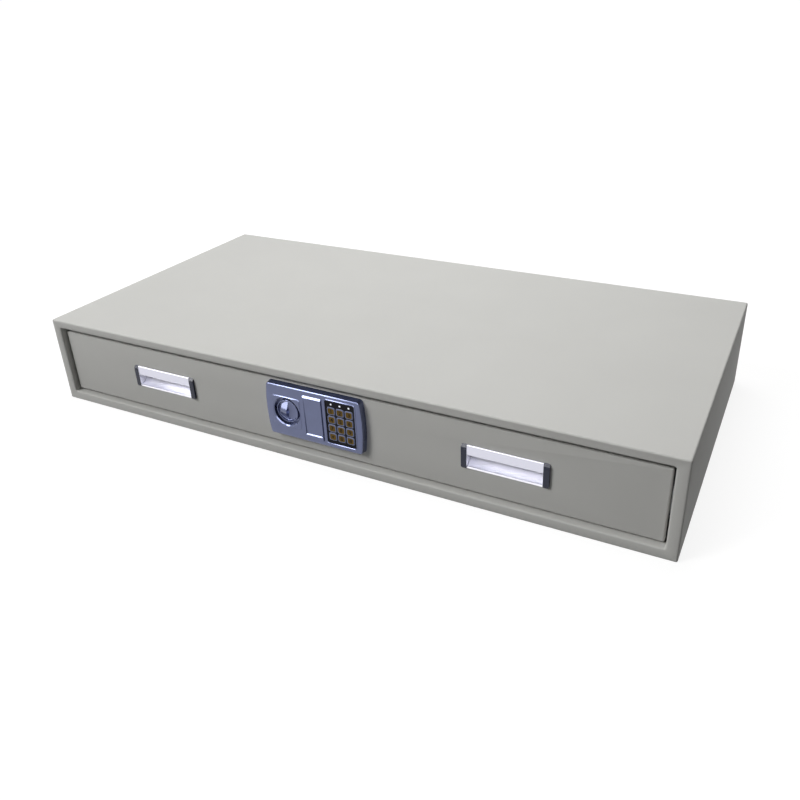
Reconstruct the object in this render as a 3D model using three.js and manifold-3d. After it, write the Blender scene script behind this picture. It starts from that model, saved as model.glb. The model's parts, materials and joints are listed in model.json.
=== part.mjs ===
// Under-bed drawer safe: a flat steel cabinet with one lockable drawer on ball slides,
// two recessed grip handles and an electronic lock with a knob, a keypad and a hidden key.
// Millimetres, +X to the right, +Y to the back, +Z up, origin under the cabinet's middle.

import * as THREE from 'three';
import { mergeVertices } from 'three/addons/utils/BufferGeometryUtils.js';
import Module from 'manifold-3d';

const wasm = await Module();
wasm.setup();

// Cabinet
const CABINET_WIDTH = 1050;
const CABINET_DEPTH = 520;
const CABINET_HEIGHT = 150;
const CABINET_SHEET = 2;
const CABINET_EDGE_RADIUS = 2.6;
const BEND_INSIDE = 0.6;
const FRAME_SIDE = 16.5;
const FRAME_TOP = 13.7;
const FRAME_BOTTOM = 16;
const FRAME_RETURN = 14;
const OPENING_CORNER = 3;
const BACK_FLANGE = 15;
const ANCHOR_HOLE = 12;
const ANCHOR_INSET_X = 150;
const ANCHOR_INSET_Y = 110;

// Gaps between neighbours: a seated pair, a running pair, and the overshoot of a cutting tool
const SEAT = 0.25;
const RUNNING = 0.3;
const PAST = 1;

// Drawer front and tray
const FRONT_RECESS = 8;
const FRONT_SHEET = 2;
const FRONT_FLANGE = 13;
const FRONT_CORNER = 2;
const GAP_SIDE = 3.4;
const GAP_BOTTOM = 3.5;
const GAP_TOP = 7.9;
const FRONT_CAVITY = 15.6;
const TRAY_SHEET = 1.5;
const TRAY_DEPTH = 450;
const TRAY_FLOOR_GAP = 3.7;
const TRAY_TOP_DROP = 10.7;
const TRAY_LIP = 7;
const TRAY_CORNER = 3;
const WIRE_HOLE_RADIUS = 5;

// Ball slides
const SLIDE_THICKNESS = 12.7;
const SLIDE_HEIGHT = 45.5;
const SLIDE_LENGTH = 450;
const SLIDE_SHEET = 1.2;
const SLIDE_START = 18;
const SLIDE_DROP = 5;
const SLIDE_END_STEP = 2;
const SLIDE_BALL = 2.4;
const SLIDE_LIP = 2.4;
const SLIDE_SIDE_GAP = 0.5;
const BRACKET_SHEET = 1.5;
const BRACKET_FOOT = 10;
const BRACKET_SHOULDER = 5;

// Handles
const HANDLE_LENGTH = 124;
const HANDLE_HEIGHT = 37.5;
const HANDLE_INSET = 211.1;
const HANDLE_RAISE = 2.05;
const HANDLE_PROUD = 2.6;
const HANDLE_WALL = 1.6;
const HANDLE_FLAP = 15.6;
const HANDLE_SEAM = 2;
const HANDLE_LIP = 3;
const HANDLE_LIP_BACK = 1.2;
const HANDLE_CORNER = 1.5;
const HANDLE_SOFT = 0.5;
const TROUGH_RADIUS = 9;
const TROUGH_DROP = 2;
const TROUGH_TOE = 2;
const CAP_LENGTH = 8.6;
const CAP_PROUD = 3.3;
const CAP_CORNER = 3;
const CAP_EDGE = 1.5;
const CAP_RIB_DROPS = [4.6, 7.4];
const CAP_RIB_INSET = 1;
const CAP_RIB_WIDTH = 0.9;
const CAP_PLUG = 3;

// Lock panel
const LOCK_X = 0;
const LOCK_TOP_MARGIN = 1.5;
const PANEL_HALF_WIDTH = 79.3;
const PANEL_HALF_HEIGHT = 42.7;
const PANEL_BOW = 3.5;
const PANEL_PROUD = 10.4;
const PANEL_DRAFT = 1.5;
const PANEL_CORNER = 3.5;
const PANEL_EDGE = 1.8;
const PANEL_WALL = 2;
const PANEL_FACE = 2.6;
const POCKET_WALL = 1.4;

// Knob
const KNOB_X = -46.5;
const KNOB_RADIUS = 18.8;
const KNOB_RECESS_RADIUS = 22.6;
const KNOB_RECESS_DEPTH = 7.6;
const KNOB_RECESS_CHAMFER = 1.6;
const KNOB_RECESS_TAPER = 0.6;
const KNOB_PLATE_WIDTH = 50.3;
const KNOB_PLATE_HEIGHT = 51.3;
const KNOB_PLATE_CORNER = 4;
const KNOB_PLATE_RAISE = 1;
const KNOB_SUNK = 0.2;
const KNOB_RIM = 1.6;
const KNOB_RIM_EDGE = 0.7;
const KNOB_BOWL_DEPTH = 5.4;
const KNOB_BOWL_SKEW = 1.5;
const KNOB_CREST_RAISE = 1.8;
const KNOB_CREST_WIDTH = 2.5;
const KNOB_CREST_SWAY = 1;
const SPINDLE_RADIUS = 4;

// Emergency key cover and cylinder
const COVER_X = 0.7;
const COVER_Z = -0.4;
const COVER_WIDTH = 31.4;
const COVER_HEIGHT = 70.6;
const COVER_DEPTH = 3.4;
const COVER_RAISE = 2.2;
const COVER_CORNER = 1.3;
const COVER_TOP_SLOPE = 2.8;
const COVER_EDGE = 0.5;
const COVER_DISH_DEPTH = 1.5;
const COVER_DISH_SIDE = 1.8;
const COVER_DISH_TOP = 5;
const COVER_DISH_BOTTOM = 8.5;
const COVER_DISH_LEDGE = 2.2;
const COVER_CLEARANCE = 0.2;
const KEY_BODY_RADIUS = 8;
const KEY_PLUG_RADIUS = 5.5;
const KEY_CAM_REACH = 12;

// Keypad
const WINDOW_X = 47.2;
const WINDOW_Z = 0.4;
const WINDOW_WIDTH = 48.8;
const WINDOW_HEIGHT = 70.4;
const WINDOW_CORNER = 2.5;
const WINDOW_LEDGE = 1.6;
const FRAME_BEAD = 2.2;
const FRAME_BEAD_PROUD = 1;
const FRAME_BEAD_EDGE = 0.7;
const PLATE_SUNK = 0.8;
const PLATE_THICKNESS = 1.4;
const KEY_PITCH_X = 14.9;
const KEY_PITCH_Z = 14.2;
const KEY_WIDTH = 13.7;
const KEY_HEIGHT = 12.9;
const KEY_CORNER = 3.2;
const KEY_CLEARANCE = 0.15;
const KEY_PROUD = 0.7;
const KEY_SOFT = 1;
const KEY_FLANGE = 0.3;
const KEY_FLANGE_THICKNESS = 0.8;
const KEY_STEM_RADIUS = 2.5;
const KEY_TRAVEL = 1;
const KEY_TOP_ROW_Z = 18.8;
const LED_RADIUS = 1.5;
const LED_PROUD = 0.4;
const LED_Z = 29.6;
const POST_RADIUS = 2;
const BOARD_THICKNESS = 1.6;
const BOARD_BACK_GAP = 1.8;
const MAT_THICKNESS = 0.6;

// Bolt work
const CRANK_RADIUS = 10;
const CRANK_THICKNESS = 3;
const CRANK_PIN_RADIUS = 2.5;
const CRANK_WALL_GAP = 1.8;
const PIN_SLOT_CLEARANCE = 0.5;
const KNOB_TURN = Math.PI / 2;
const CARRIAGE_SHEET = 2;
const CARRIAGE_GAP = 1.5;
const CARRIAGE_HALF_WIDTH = 72;
const CARRIAGE_BAR_HEIGHT = 16;
const CARRIAGE_RAISE = 26.3;
const BOLT_RADIUS = 8;
const BOLT_SPREAD = 60;
const BOLT_PLATE_GAP = 2;
const BOLT_TOP_GAP = 3.2;
const BOLT_GUIDE = 0.5;
const KEEPER_SHEET = 2.5;
const KEEPER_LENGTH = 200;
const KEEPER_TOP_FLANGE = 22;
const KEEPER_BOLT_GAP = 1;
const KEEPER_CLEARANCE = 5;

// Solenoid
const SOLENOID_LENGTH = 28;
const SOLENOID_HALF = 7;
const SOLENOID_RAISE = 9.3;
const PLUNGER_RADIUS = 2.5;
const PLUNGER_TRAVEL = 3.5;
const PLUNGER_REACH = 10;
const LATCH_HALF_WIDTH = 6;
const LATCH_NOTCH = 3.5;

// Lock cover, batteries and reset button
const LOCK_COVER_LEFT = -82;
const LOCK_COVER_RIGHT = 150;
const LOCK_COVER_DEPTH = 40.5;
const LOCK_COVER_SHEET = 1.2;
const BATTERY_RADIUS = 7.25;
const BATTERY_LENGTH = 50.5;
const BATTERY_PITCH = 15;
const BATTERY_COUNT = 4;
const BATTERY_CASE_WALL = 1.5;
const BATTERY_RIDGE = 2.5;
const BATTERY_X = 115.5;
const LID_THICKNESS = 2;
const LID_OVERLAP = 2.5;
const RESET_RADIUS = 3;
const RESET_FLANGE = 1.5;
const RESET_DROP = 11.95;

// Fineness of curves
const BEND_STEPS = 3;
const ROUND_STEPS = 24;

// Places worked out from the sizes above
const frontPlane = -CABINET_DEPTH / 2;
const backPlane = CABINET_DEPTH / 2;
const openingHalf = CABINET_WIDTH / 2 - FRAME_SIDE;
const openingBottom = FRAME_BOTTOM;
const openingTop = CABINET_HEIGHT - FRAME_TOP;
const drawerPlane = frontPlane + FRONT_RECESS;
const frontHalf = openingHalf - GAP_SIDE;
const frontBottom = openingBottom + GAP_BOTTOM;
const frontTop = openingTop - GAP_TOP;
const frontMiddle = (frontBottom + frontTop) / 2;
const handleX = frontHalf - HANDLE_INSET;
const handleZ = frontMiddle + HANDLE_RAISE;
const lockZ = frontTop - LOCK_TOP_MARGIN - PANEL_DRAFT - PANEL_HALF_HEIGHT;
const slideOuterX = openingHalf - SLIDE_SIDE_GAP;
const slideZ = CABINET_HEIGHT / 2 - SLIDE_DROP;
const trayHalf = slideOuterX - SLIDE_THICKNESS - SEAT;
const trayBottom = openingBottom + TRAY_FLOOR_GAP;
const trayTop = frontTop - TRAY_TOP_DROP;
const trayFrontWall = FRONT_CAVITY + TRAY_SHEET;
const panelFace = -PANEL_PROUD;
const recessFloor = panelFace + KNOB_RECESS_DEPTH;
const plateFace = panelFace + PLATE_SUNK;
const plateBack = plateFace + PLATE_THICKNESS;
const ledgeFace = plateBack + SEAT;
const boardFace = -BOARD_BACK_GAP - BOARD_THICKNESS;
const crankFront = trayFrontWall + CRANK_WALL_GAP;
const crankBack = crankFront + CRANK_THICKNESS;
const carriageFront = crankBack + CARRIAGE_GAP;
const carriageMiddle = carriageFront + CARRIAGE_SHEET / 2;
const boltY = carriageFront + CARRIAGE_SHEET + BOLT_PLATE_GAP + BOLT_RADIUS;
const boltThrow = 2 * CRANK_RADIUS * Math.sin(KNOB_TURN / 2);
const boltTop = frontTop - BOLT_TOP_GAP;
const coverRear = trayFrontWall + LOCK_COVER_DEPTH;
const coverTop = trayTop - TRAY_SHEET - SEAT;
const coverBottom = trayBottom + TRAY_SHEET + SEAT;
const carriageBottom = trayBottom + CARRIAGE_RAISE;
const solenoidZ = lockZ + SOLENOID_RAISE;
const resetZ = coverTop - RESET_DROP;
const batteryZ = (coverBottom + resetZ) / 2;

// Materials
function paint(colour, roughness, metalness) {
  return new THREE.MeshStandardMaterial({ color: new THREE.Color(...colour), roughness, metalness });
}

const powderCoat = paint([0.6, 0.6, 0.56], 0.62, 0.1);
const zincSteel = paint([0.62, 0.64, 0.66], 0.35, 0.9);
const brightSteel = paint([0.72, 0.73, 0.75], 0.25, 1);
const brushedAluminium = paint([0.82, 0.82, 0.86], 0.3, 1);
const navyPlastic = paint([0.02, 0.03, 0.07], 0.35, 0);
const panelPlastic = paint([0.21, 0.24, 0.34], 0.38, 0.25);
const blackPlastic = paint([0.01, 0.01, 0.015], 0.25, 0);
const keyPlastic = paint([0.24, 0.27, 0.4], 0.42, 0.1);
const lampPlastic = paint([0.9, 0.92, 0.95], 0.15, 0);
const matRubber = paint([0.4, 0.4, 0.42], 0.7, 0);
const boardGreen = paint([0.03, 0.22, 0.1], 0.45, 0);
const brassMetal = paint([0.72, 0.55, 0.25], 0.3, 1);
const coilBlack = paint([0.05, 0.05, 0.05], 0.5, 0);
const batteryJacket = paint([0.12, 0.12, 0.13], 0.35, 0.3);
const resetRed = paint([0.6, 0.05, 0.04], 0.4, 0);

// Turns a closed three.js geometry into a solid that can be cut and joined
function solid(geometry) {
  const bare = geometry.clone();
  bare.deleteAttribute('normal');
  bare.deleteAttribute('uv');
  const merged = mergeVertices(bare, 1e-4);
  return new wasm.Manifold(new wasm.Mesh({
    numProp: 3,
    vertProperties: Float32Array.from(merged.attributes.position.array),
    triVerts: Uint32Array.from(merged.index.array),
  }));
}

function geometryOf(body) {
  const { numProp, vertProperties, triVerts } = body.getMesh();
  const geometry = new THREE.BufferGeometry();
  geometry.setAttribute('position', new THREE.BufferAttribute(vertProperties, numProp));
  geometry.setIndex(new THREE.BufferAttribute(triVerts, 1));
  geometry.computeVertexNormals();
  return geometry;
}

function piece(name, body, material) {
  const mesh = new THREE.Mesh(geometryOf(body), material);
  mesh.name = name;
  return mesh;
}

function join(first, ...others) {
  return others.reduce((whole, part) => whole.add(part), first);
}

function cut(first, ...others) {
  return others.reduce((whole, part) => whole.subtract(part), first);
}

// Outlines, as lists of 2-D points

function roundedRectangle(width, height, radius, centre = [0, 0], steps = BEND_STEPS) {
  const corner = Math.min(radius, width / 2 - 0.01, height / 2 - 0.01);
  const points = [];
  for (let quarter = 0; quarter < 4; quarter++) {
    const signA = quarter === 0 || quarter === 3 ? 1 : -1;
    const signB = quarter < 2 ? 1 : -1;
    for (let step = 0; step <= steps; step++) {
      const angle = (quarter + step / steps) * Math.PI / 2;
      points.push(new THREE.Vector2(
        centre[0] + signA * (width / 2 - corner) + corner * Math.cos(angle),
        centre[1] + signB * (height / 2 - corner) + corner * Math.sin(angle),
      ));
    }
  }
  return points;
}

function circle(radius, centre = [0, 0], steps = ROUND_STEPS) {
  const points = [];
  for (let step = 0; step < steps; step++) {
    const angle = step / steps * Math.PI * 2;
    points.push(new THREE.Vector2(centre[0] + radius * Math.cos(angle), centre[1] + radius * Math.sin(angle)));
  }
  return points;
}

function arc(centre, radius, fromAngle, toAngle, steps = BEND_STEPS) {
  const points = [];
  for (let step = 0; step <= steps; step++) {
    const angle = fromAngle + (toAngle - fromAngle) * step / steps;
    points.push(new THREE.Vector2(centre[0] + radius * Math.cos(angle), centre[1] + radius * Math.sin(angle)));
  }
  return points;
}

function polygon(pairs) {
  return pairs.map((pair) => new THREE.Vector2(...pair));
}

// Outline of a bent strip of sheet whose middle line runs through the given corners
function bentStrip(corners, sheet, insideRadius = BEND_INSIDE) {
  const points = polygon(corners);
  const origin = new THREE.Vector2();
  const middleRadius = insideRadius + sheet / 2;
  const left = [];
  const right = [];
  const addPair = (point, direction) => {
    const normal = new THREE.Vector2(-direction.y, direction.x);
    left.push(point.clone().addScaledVector(normal, sheet / 2));
    right.unshift(point.clone().addScaledVector(normal, -sheet / 2));
  };
  const heading = (index) => points[index + 1].clone().sub(points[index]).normalize();
  addPair(points[0], heading(0));
  for (let index = 1; index < points.length - 1; index++) {
    const incoming = heading(index - 1);
    const outgoing = heading(index);
    const turn = Math.atan2(incoming.cross(outgoing), incoming.dot(outgoing));
    const reach = middleRadius * Math.tan(Math.abs(turn) / 2);
    const start = points[index].clone().addScaledVector(incoming, -reach);
    const towards = new THREE.Vector2(-incoming.y, incoming.x).multiplyScalar(Math.sign(turn) * middleRadius);
    const centre = start.clone().add(towards);
    for (let step = 0; step <= BEND_STEPS; step++) {
      const direction = incoming.clone().rotateAround(origin, turn * step / BEND_STEPS);
      const inward = new THREE.Vector2(-direction.y, direction.x).multiplyScalar(Math.sign(turn) * middleRadius);
      addPair(centre.clone().sub(inward), direction);
    }
  }
  addPair(points[points.length - 1], heading(points.length - 2));
  return left.concat(right);
}

// Prisms along the three axes; the outline's own axes are named in each comment

function prism(outline, length) {
  return new THREE.ExtrudeGeometry(new THREE.Shape(outline), { depth: length, bevelEnabled: false, steps: 1 });
}

// Outline in x and z
function alongY(outline, start, end) {
  return solid(prism(outline, end - start).rotateX(Math.PI / 2).translate(0, end, 0));
}

// Outline in y and z
function alongX(outline, start, end) {
  const turn = new THREE.Matrix4().makeBasis(
    new THREE.Vector3(0, 1, 0),
    new THREE.Vector3(0, 0, 1),
    new THREE.Vector3(1, 0, 0),
  );
  return solid(prism(outline, end - start).applyMatrix4(turn).translate(start, 0, 0));
}

// Outline in x and y
function alongZ(outline, start, end) {
  return solid(prism(outline, end - start).translate(0, 0, start));
}

// A turned solid's profile has to climb for its faces to point outwards
function turned(profile, steps) {
  const climbs = profile[profile.length - 1][1] > profile[0][1];
  return new THREE.LatheGeometry(polygon(climbs ? profile : [...profile].reverse()), steps);
}

// Turned solid about a line along Y; the profile holds pairs of radius and y
function turnedAboutY(profile, centre, steps = ROUND_STEPS) {
  return solid(turned(profile, steps).translate(centre[0], 0, centre[1]));
}

// Turned solid about a line along Z; the profile holds pairs of radius and z
function turnedAboutZ(profile, centre, steps = ROUND_STEPS) {
  return solid(turned(profile, steps).rotateX(Math.PI / 2).translate(centre[0], centre[1], 0));
}

function ellipsoid(radii, centre, across = 24, down = 16) {
  return solid(new THREE.SphereGeometry(1, across, down).scale(...radii).translate(...centre));
}

// Closed skin through a row of loops with equal point counts, as a ring or with two end caps
function loft(loops, asRing) {
  const count = loops[0].length;
  const faces = [];
  const rows = asRing ? loops.length : loops.length - 1;
  for (let row = 0; row < rows; row++) {
    const here = row * count;
    const there = (row + 1) % loops.length * count;
    for (let index = 0; index < count; index++) {
      const next = (index + 1) % count;
      faces.push(here + index, here + next, there + next);
      faces.push(here + index, there + next, there + index);
    }
  }
  if (!asRing) {
    const last = (loops.length - 1) * count;
    for (let index = 1; index < count - 1; index++) {
      faces.push(0, index + 1, index);
      faces.push(last, last + index, last + index + 1);
    }
  }
  const positions = loops.flat();
  const volume = signedVolume(positions, faces);
  const geometry = new THREE.BufferGeometry();
  geometry.setAttribute('position', new THREE.Float32BufferAttribute(positions.flat(), 3));
  geometry.setIndex(volume < 0 ? faces.reverse() : faces);
  return solid(geometry);
}

function signedVolume(positions, faces) {
  let volume = 0;
  for (let index = 0; index < faces.length; index += 3) {
    const [a, b, c] = [0, 1, 2].map((step) => new THREE.Vector3(...positions[faces[index + step]]));
    volume += a.dot(b.cross(c)) / 6;
  }
  return volume;
}

// Sheet pan: its rim profile holds pairs of inset from the outline and level above its plate
function panProfile(sheet, height, lip) {
  const bend = sheet + BEND_INSIDE;
  const inner = arc([bend, bend], BEND_INSIDE, -Math.PI / 2, -Math.PI);
  const outer = arc([bend, bend], bend, -Math.PI, -Math.PI / 2);
  const rim = lip
    ? [[sheet, height - sheet], [lip, height - sheet], [lip, height], ...arc([bend, height - bend], bend, Math.PI / 2, Math.PI)
      .map((point) => point.toArray())]
    : [[sheet, height], [0, height]];
  return [...inner.map((point) => point.toArray()), ...rim, ...outer.map((point) => point.toArray())];
}

function pan(width, breadth, corner, profile, place) {
  const loops = profile.map(([inset, level]) => roundedRectangle(
    width - 2 * inset,
    breadth - 2 * inset,
    Math.max(corner - inset, 0.4),
  ).map((point) => place(point.x, point.y, level)));
  return loft(loops, false);
}

// Cabinet

// Outer wall, front frame and its inward return, folded from one sheet
function cabinetShell() {
  const bend = CABINET_SHEET + BEND_INSIDE;
  const section = [];
  const wall = (inset, level) => section.push({
    width: CABINET_WIDTH - 2 * inset,
    height: CABINET_HEIGHT - 2 * inset,
    corner: Math.max(CABINET_EDGE_RADIUS - inset, 0.4),
    middle: CABINET_HEIGHT / 2,
    level,
  });
  const opening = (outset, level) => section.push({
    width: 2 * (openingHalf + outset),
    height: openingTop - openingBottom + 2 * outset,
    corner: OPENING_CORNER + outset,
    middle: (openingTop + openingBottom) / 2,
    level,
  });
  wall(0, CABINET_DEPTH);
  for (const point of arc([bend, bend], bend, Math.PI, Math.PI * 1.5)) wall(point.x, point.y);
  for (const point of arc([bend, bend], bend, Math.PI * 1.5, Math.PI)) opening(point.x, point.y);
  opening(0, FRAME_RETURN);
  opening(CABINET_SHEET, FRAME_RETURN);
  for (const point of arc([bend, bend], BEND_INSIDE, Math.PI, Math.PI * 1.5)) opening(point.x, point.y);
  for (const point of arc([bend, bend], BEND_INSIDE, Math.PI * 1.5, Math.PI)) wall(point.x, point.y);
  wall(CABINET_SHEET, CABINET_DEPTH);
  const loops = section.map(({ width, height, corner, middle, level }) => roundedRectangle(
    width,
    height,
    corner,
    [0, middle],
  ).map((point) => [point.x, frontPlane + level, point.y]));
  const holes = [];
  for (const sideX of [-1, 1]) {
    for (const sideY of [-1, 1]) {
      const centre = [
        sideX * (CABINET_WIDTH / 2 - ANCHOR_INSET_X),
        sideY * (CABINET_DEPTH / 2 - ANCHOR_INSET_Y),
      ];
      holes.push(alongZ(circle(ANCHOR_HOLE / 2, centre), -PAST, CABINET_SHEET + PAST));
    }
  }
  return piece('cabinet_shell', cut(loft(loops, true), ...holes), powderCoat);
}

// Rear wall with its welded flange turned forward inside the shell
function cabinetBack() {
  const width = CABINET_WIDTH - 2 * (CABINET_SHEET + SEAT);
  const height = CABINET_HEIGHT - 2 * (CABINET_SHEET + SEAT);
  const corner = Math.max(CABINET_EDGE_RADIUS - CABINET_SHEET, 0.5);
  const body = pan(width, height, corner, panProfile(CABINET_SHEET, BACK_FLANGE), (x, z, level) => [
    x,
    backPlane - level,
    CABINET_HEIGHT / 2 + z,
  ]);
  const holes = [-1, 1].map((side) => alongY(
    circle(ANCHOR_HOLE / 2, [side * (CABINET_WIDTH / 2 - ANCHOR_INSET_X), CABINET_HEIGHT / 2]),
    backPlane - CABINET_SHEET - PAST,
    backPlane + PAST,
  ));
  return piece('cabinet_back', cut(body, ...holes), powderCoat);
}

// Angle under the top that the raised bolts hook behind
function boltKeeper() {
  const top = CABINET_HEIGHT - CABINET_SHEET - SEAT - KEEPER_SHEET / 2;
  const legY = drawerPlane + boltY - BOLT_RADIUS - KEEPER_BOLT_GAP - KEEPER_SHEET / 2;
  const legBottom = boltTop + KEEPER_CLEARANCE;
  const outline = bentStrip([[legY + KEEPER_TOP_FLANGE, top], [legY, top], [legY, legBottom]], KEEPER_SHEET);
  return piece('bolt_keeper', alongX(outline, LOCK_X - KEEPER_LENGTH / 2, LOCK_X + KEEPER_LENGTH / 2), zincSteel);
}

// Slides: every profile is drawn from the drawer side outwards, in x and z

function slideBracket(name, side) {
  const face = side * (slideOuterX + SEAT + BRACKET_SHEET / 2);
  const foot = side * (CABINET_WIDTH / 2 - CABINET_SHEET - SEAT - BRACKET_SHEET / 2);
  const shoulder = SLIDE_HEIGHT / 2 + BRACKET_SHOULDER;
  const outline = bentStrip([
    [foot, slideZ + shoulder + BRACKET_FOOT],
    [foot, slideZ + shoulder],
    [face, slideZ + shoulder],
    [face, slideZ - shoulder],
    [foot, slideZ - shoulder],
    [foot, slideZ - shoulder - BRACKET_FOOT],
  ], BRACKET_SHEET);
  const start = drawerPlane + SLIDE_START;
  return piece(name, alongY(outline, start, start + SLIDE_LENGTH), zincSteel);
}

// Channel with curled lips that open towards the given depth
function slideChannel(webDepth, lipDepth, halfHeight, side) {
  const x = (depth) => side * (slideOuterX - depth);
  return bentStrip([
    [x(lipDepth), slideZ + halfHeight - SLIDE_LIP],
    [x(lipDepth), slideZ + halfHeight],
    [x(webDepth), slideZ + halfHeight],
    [x(webDepth), slideZ - halfHeight],
    [x(lipDepth), slideZ - halfHeight],
    [x(lipDepth), slideZ - halfHeight + SLIDE_LIP],
  ], SLIDE_SHEET);
}

const slideHalf = SLIDE_HEIGHT / 2 - SLIDE_SHEET / 2;
const slideStep = SLIDE_SHEET + SLIDE_BALL;
const slideLipDepth = SLIDE_THICKNESS - SLIDE_SHEET * 1.5;

function slideOuter(name, side) {
  const outline = slideChannel(SLIDE_SHEET / 2, slideLipDepth, slideHalf, side);
  const start = drawerPlane + SLIDE_START;
  return piece(name, alongY(outline, start, start + SLIDE_LENGTH), zincSteel);
}

function slideMiddle(name, side) {
  const outline = slideChannel(SLIDE_SHEET * 2.5, slideLipDepth, slideHalf - slideStep, side);
  const start = drawerPlane + SLIDE_START + SLIDE_END_STEP;
  return piece(name, alongY(outline, start, start + SLIDE_LENGTH - 3 * SLIDE_END_STEP), zincSteel);
}

// The inner member turns its back to the drawer, so its lips open the other way
function slideInner(name, side) {
  const web = SLIDE_THICKNESS - SLIDE_SHEET / 2;
  const outline = slideChannel(web, SLIDE_SHEET * 4.5, slideHalf - 2 * slideStep, side);
  return piece(name, alongY(outline, SLIDE_START, SLIDE_START + SLIDE_LENGTH), zincSteel);
}

// Drawer; from here on y is measured back from the drawer front's face

function handleWindow(side) {
  const halfWidth = HANDLE_LENGTH / 2 - CAP_LENGTH + CAP_PLUG + RUNNING;
  const halfHeight = HANDLE_HEIGHT / 2 - HANDLE_SEAM + RUNNING;
  const outline = roundedRectangle(2 * halfWidth, 2 * halfHeight, 1, [side * handleX, handleZ]);
  return alongY(outline, -PAST, FRONT_SHEET + PAST);
}

function lockHoles(start, end) {
  return [
    alongY(circle(SPINDLE_RADIUS + RUNNING, [LOCK_X + KNOB_X, lockZ]), start, end),
    alongY(circle(KEY_BODY_RADIUS + RUNNING, [LOCK_X + COVER_X, lockZ + COVER_Z]), start, end),
    alongY(circle(WIRE_HOLE_RADIUS, [LOCK_X + WINDOW_X, lockZ - PANEL_HALF_HEIGHT / 2]), start, end),
  ];
}

function drawerFront() {
  const profile = panProfile(FRONT_SHEET, FRONT_FLANGE);
  const body = pan(2 * frontHalf, frontTop - frontBottom, FRONT_CORNER, profile, (x, z, level) => [
    x,
    level,
    frontMiddle + z,
  ]);
  const windows = [handleWindow(-1), handleWindow(1)];
  const holes = lockHoles(-PAST, FRONT_SHEET + PAST);
  return piece('drawer_front', cut(body, ...windows, ...holes), powderCoat);
}

function drawerTray() {
  const profile = panProfile(TRAY_SHEET, trayTop - trayBottom, TRAY_LIP);
  const body = pan(2 * trayHalf, TRAY_DEPTH, TRAY_CORNER, profile, (x, y, level) => [
    x,
    FRONT_CAVITY + TRAY_DEPTH / 2 + y,
    trayBottom + level,
  ]);
  const holes = lockHoles(FRONT_CAVITY - PAST, trayFrontWall + PAST);
  return piece('drawer_tray', cut(body, ...holes), powderCoat);
}

// Recessed grip handles

const handleTop = HANDLE_HEIGHT / 2;
const handleSeam = handleTop - HANDLE_SEAM;
const handleBack = FRONT_CAVITY - SEAT;
const flapBack = HANDLE_WALL - HANDLE_PROUD;

// Swept bottom of the trough in y and z, from its back wall down towards the lip
function troughArc(radius) {
  return arc([handleBack - TROUGH_RADIUS, -TROUGH_DROP], radius, 0, -Math.PI / 3, 4)
    .map((point) => point.toArray());
}

// Section of the overhanging flap, a flat bar with a round top corner and soft lower arrises
function flapSection() {
  const flapBottom = handleTop - HANDLE_FLAP;
  const corner = [HANDLE_CORNER - HANDLE_PROUD, handleTop - HANDLE_CORNER];
  return polygon([
    ...arc(corner, HANDLE_CORNER, Math.PI, Math.PI / 2).map((point) => point.toArray()),
    [flapBack, handleTop],
    [flapBack, flapBottom + HANDLE_SOFT],
    [flapBack - HANDLE_SOFT, flapBottom],
    [HANDLE_SOFT - HANDLE_PROUD, flapBottom],
    [-HANDLE_PROUD, flapBottom + HANDLE_SOFT],
  ]);
}

// Section of the trough from the rim that carries the flap, over its top wall, round the back
// and down to the lip
function troughSection() {
  const rimFace = flapBack + SEAT;
  const lipFace = HANDLE_SOFT - HANDLE_PROUD;
  const lipTop = HANDLE_LIP - handleTop;
  return polygon([
    [rimFace, handleSeam - HANDLE_WALL],
    [rimFace, handleTop - HANDLE_SOFT],
    [0, handleTop - HANDLE_SOFT],
    [0, handleSeam],
    [handleBack, handleSeam],
    ...troughArc(TROUGH_RADIUS),
    [TROUGH_TOE, -handleSeam],
    [0, -handleSeam],
    [0, -handleTop],
    [lipFace + HANDLE_SOFT, -handleTop],
    [lipFace, HANDLE_SOFT - handleTop],
    [lipFace, lipTop],
    [HANDLE_LIP_BACK, lipTop + HANDLE_SOFT],
    ...troughArc(TROUGH_RADIUS - HANDLE_WALL).reverse(),
    [handleBack - HANDLE_WALL, handleSeam - HANDLE_WALL],
  ]);
}

function handleProfile(name, section) {
  const half = HANDLE_LENGTH / 2 - CAP_LENGTH;
  return piece(name, alongX(section, -half, half), brushedAluminium);
}

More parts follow.
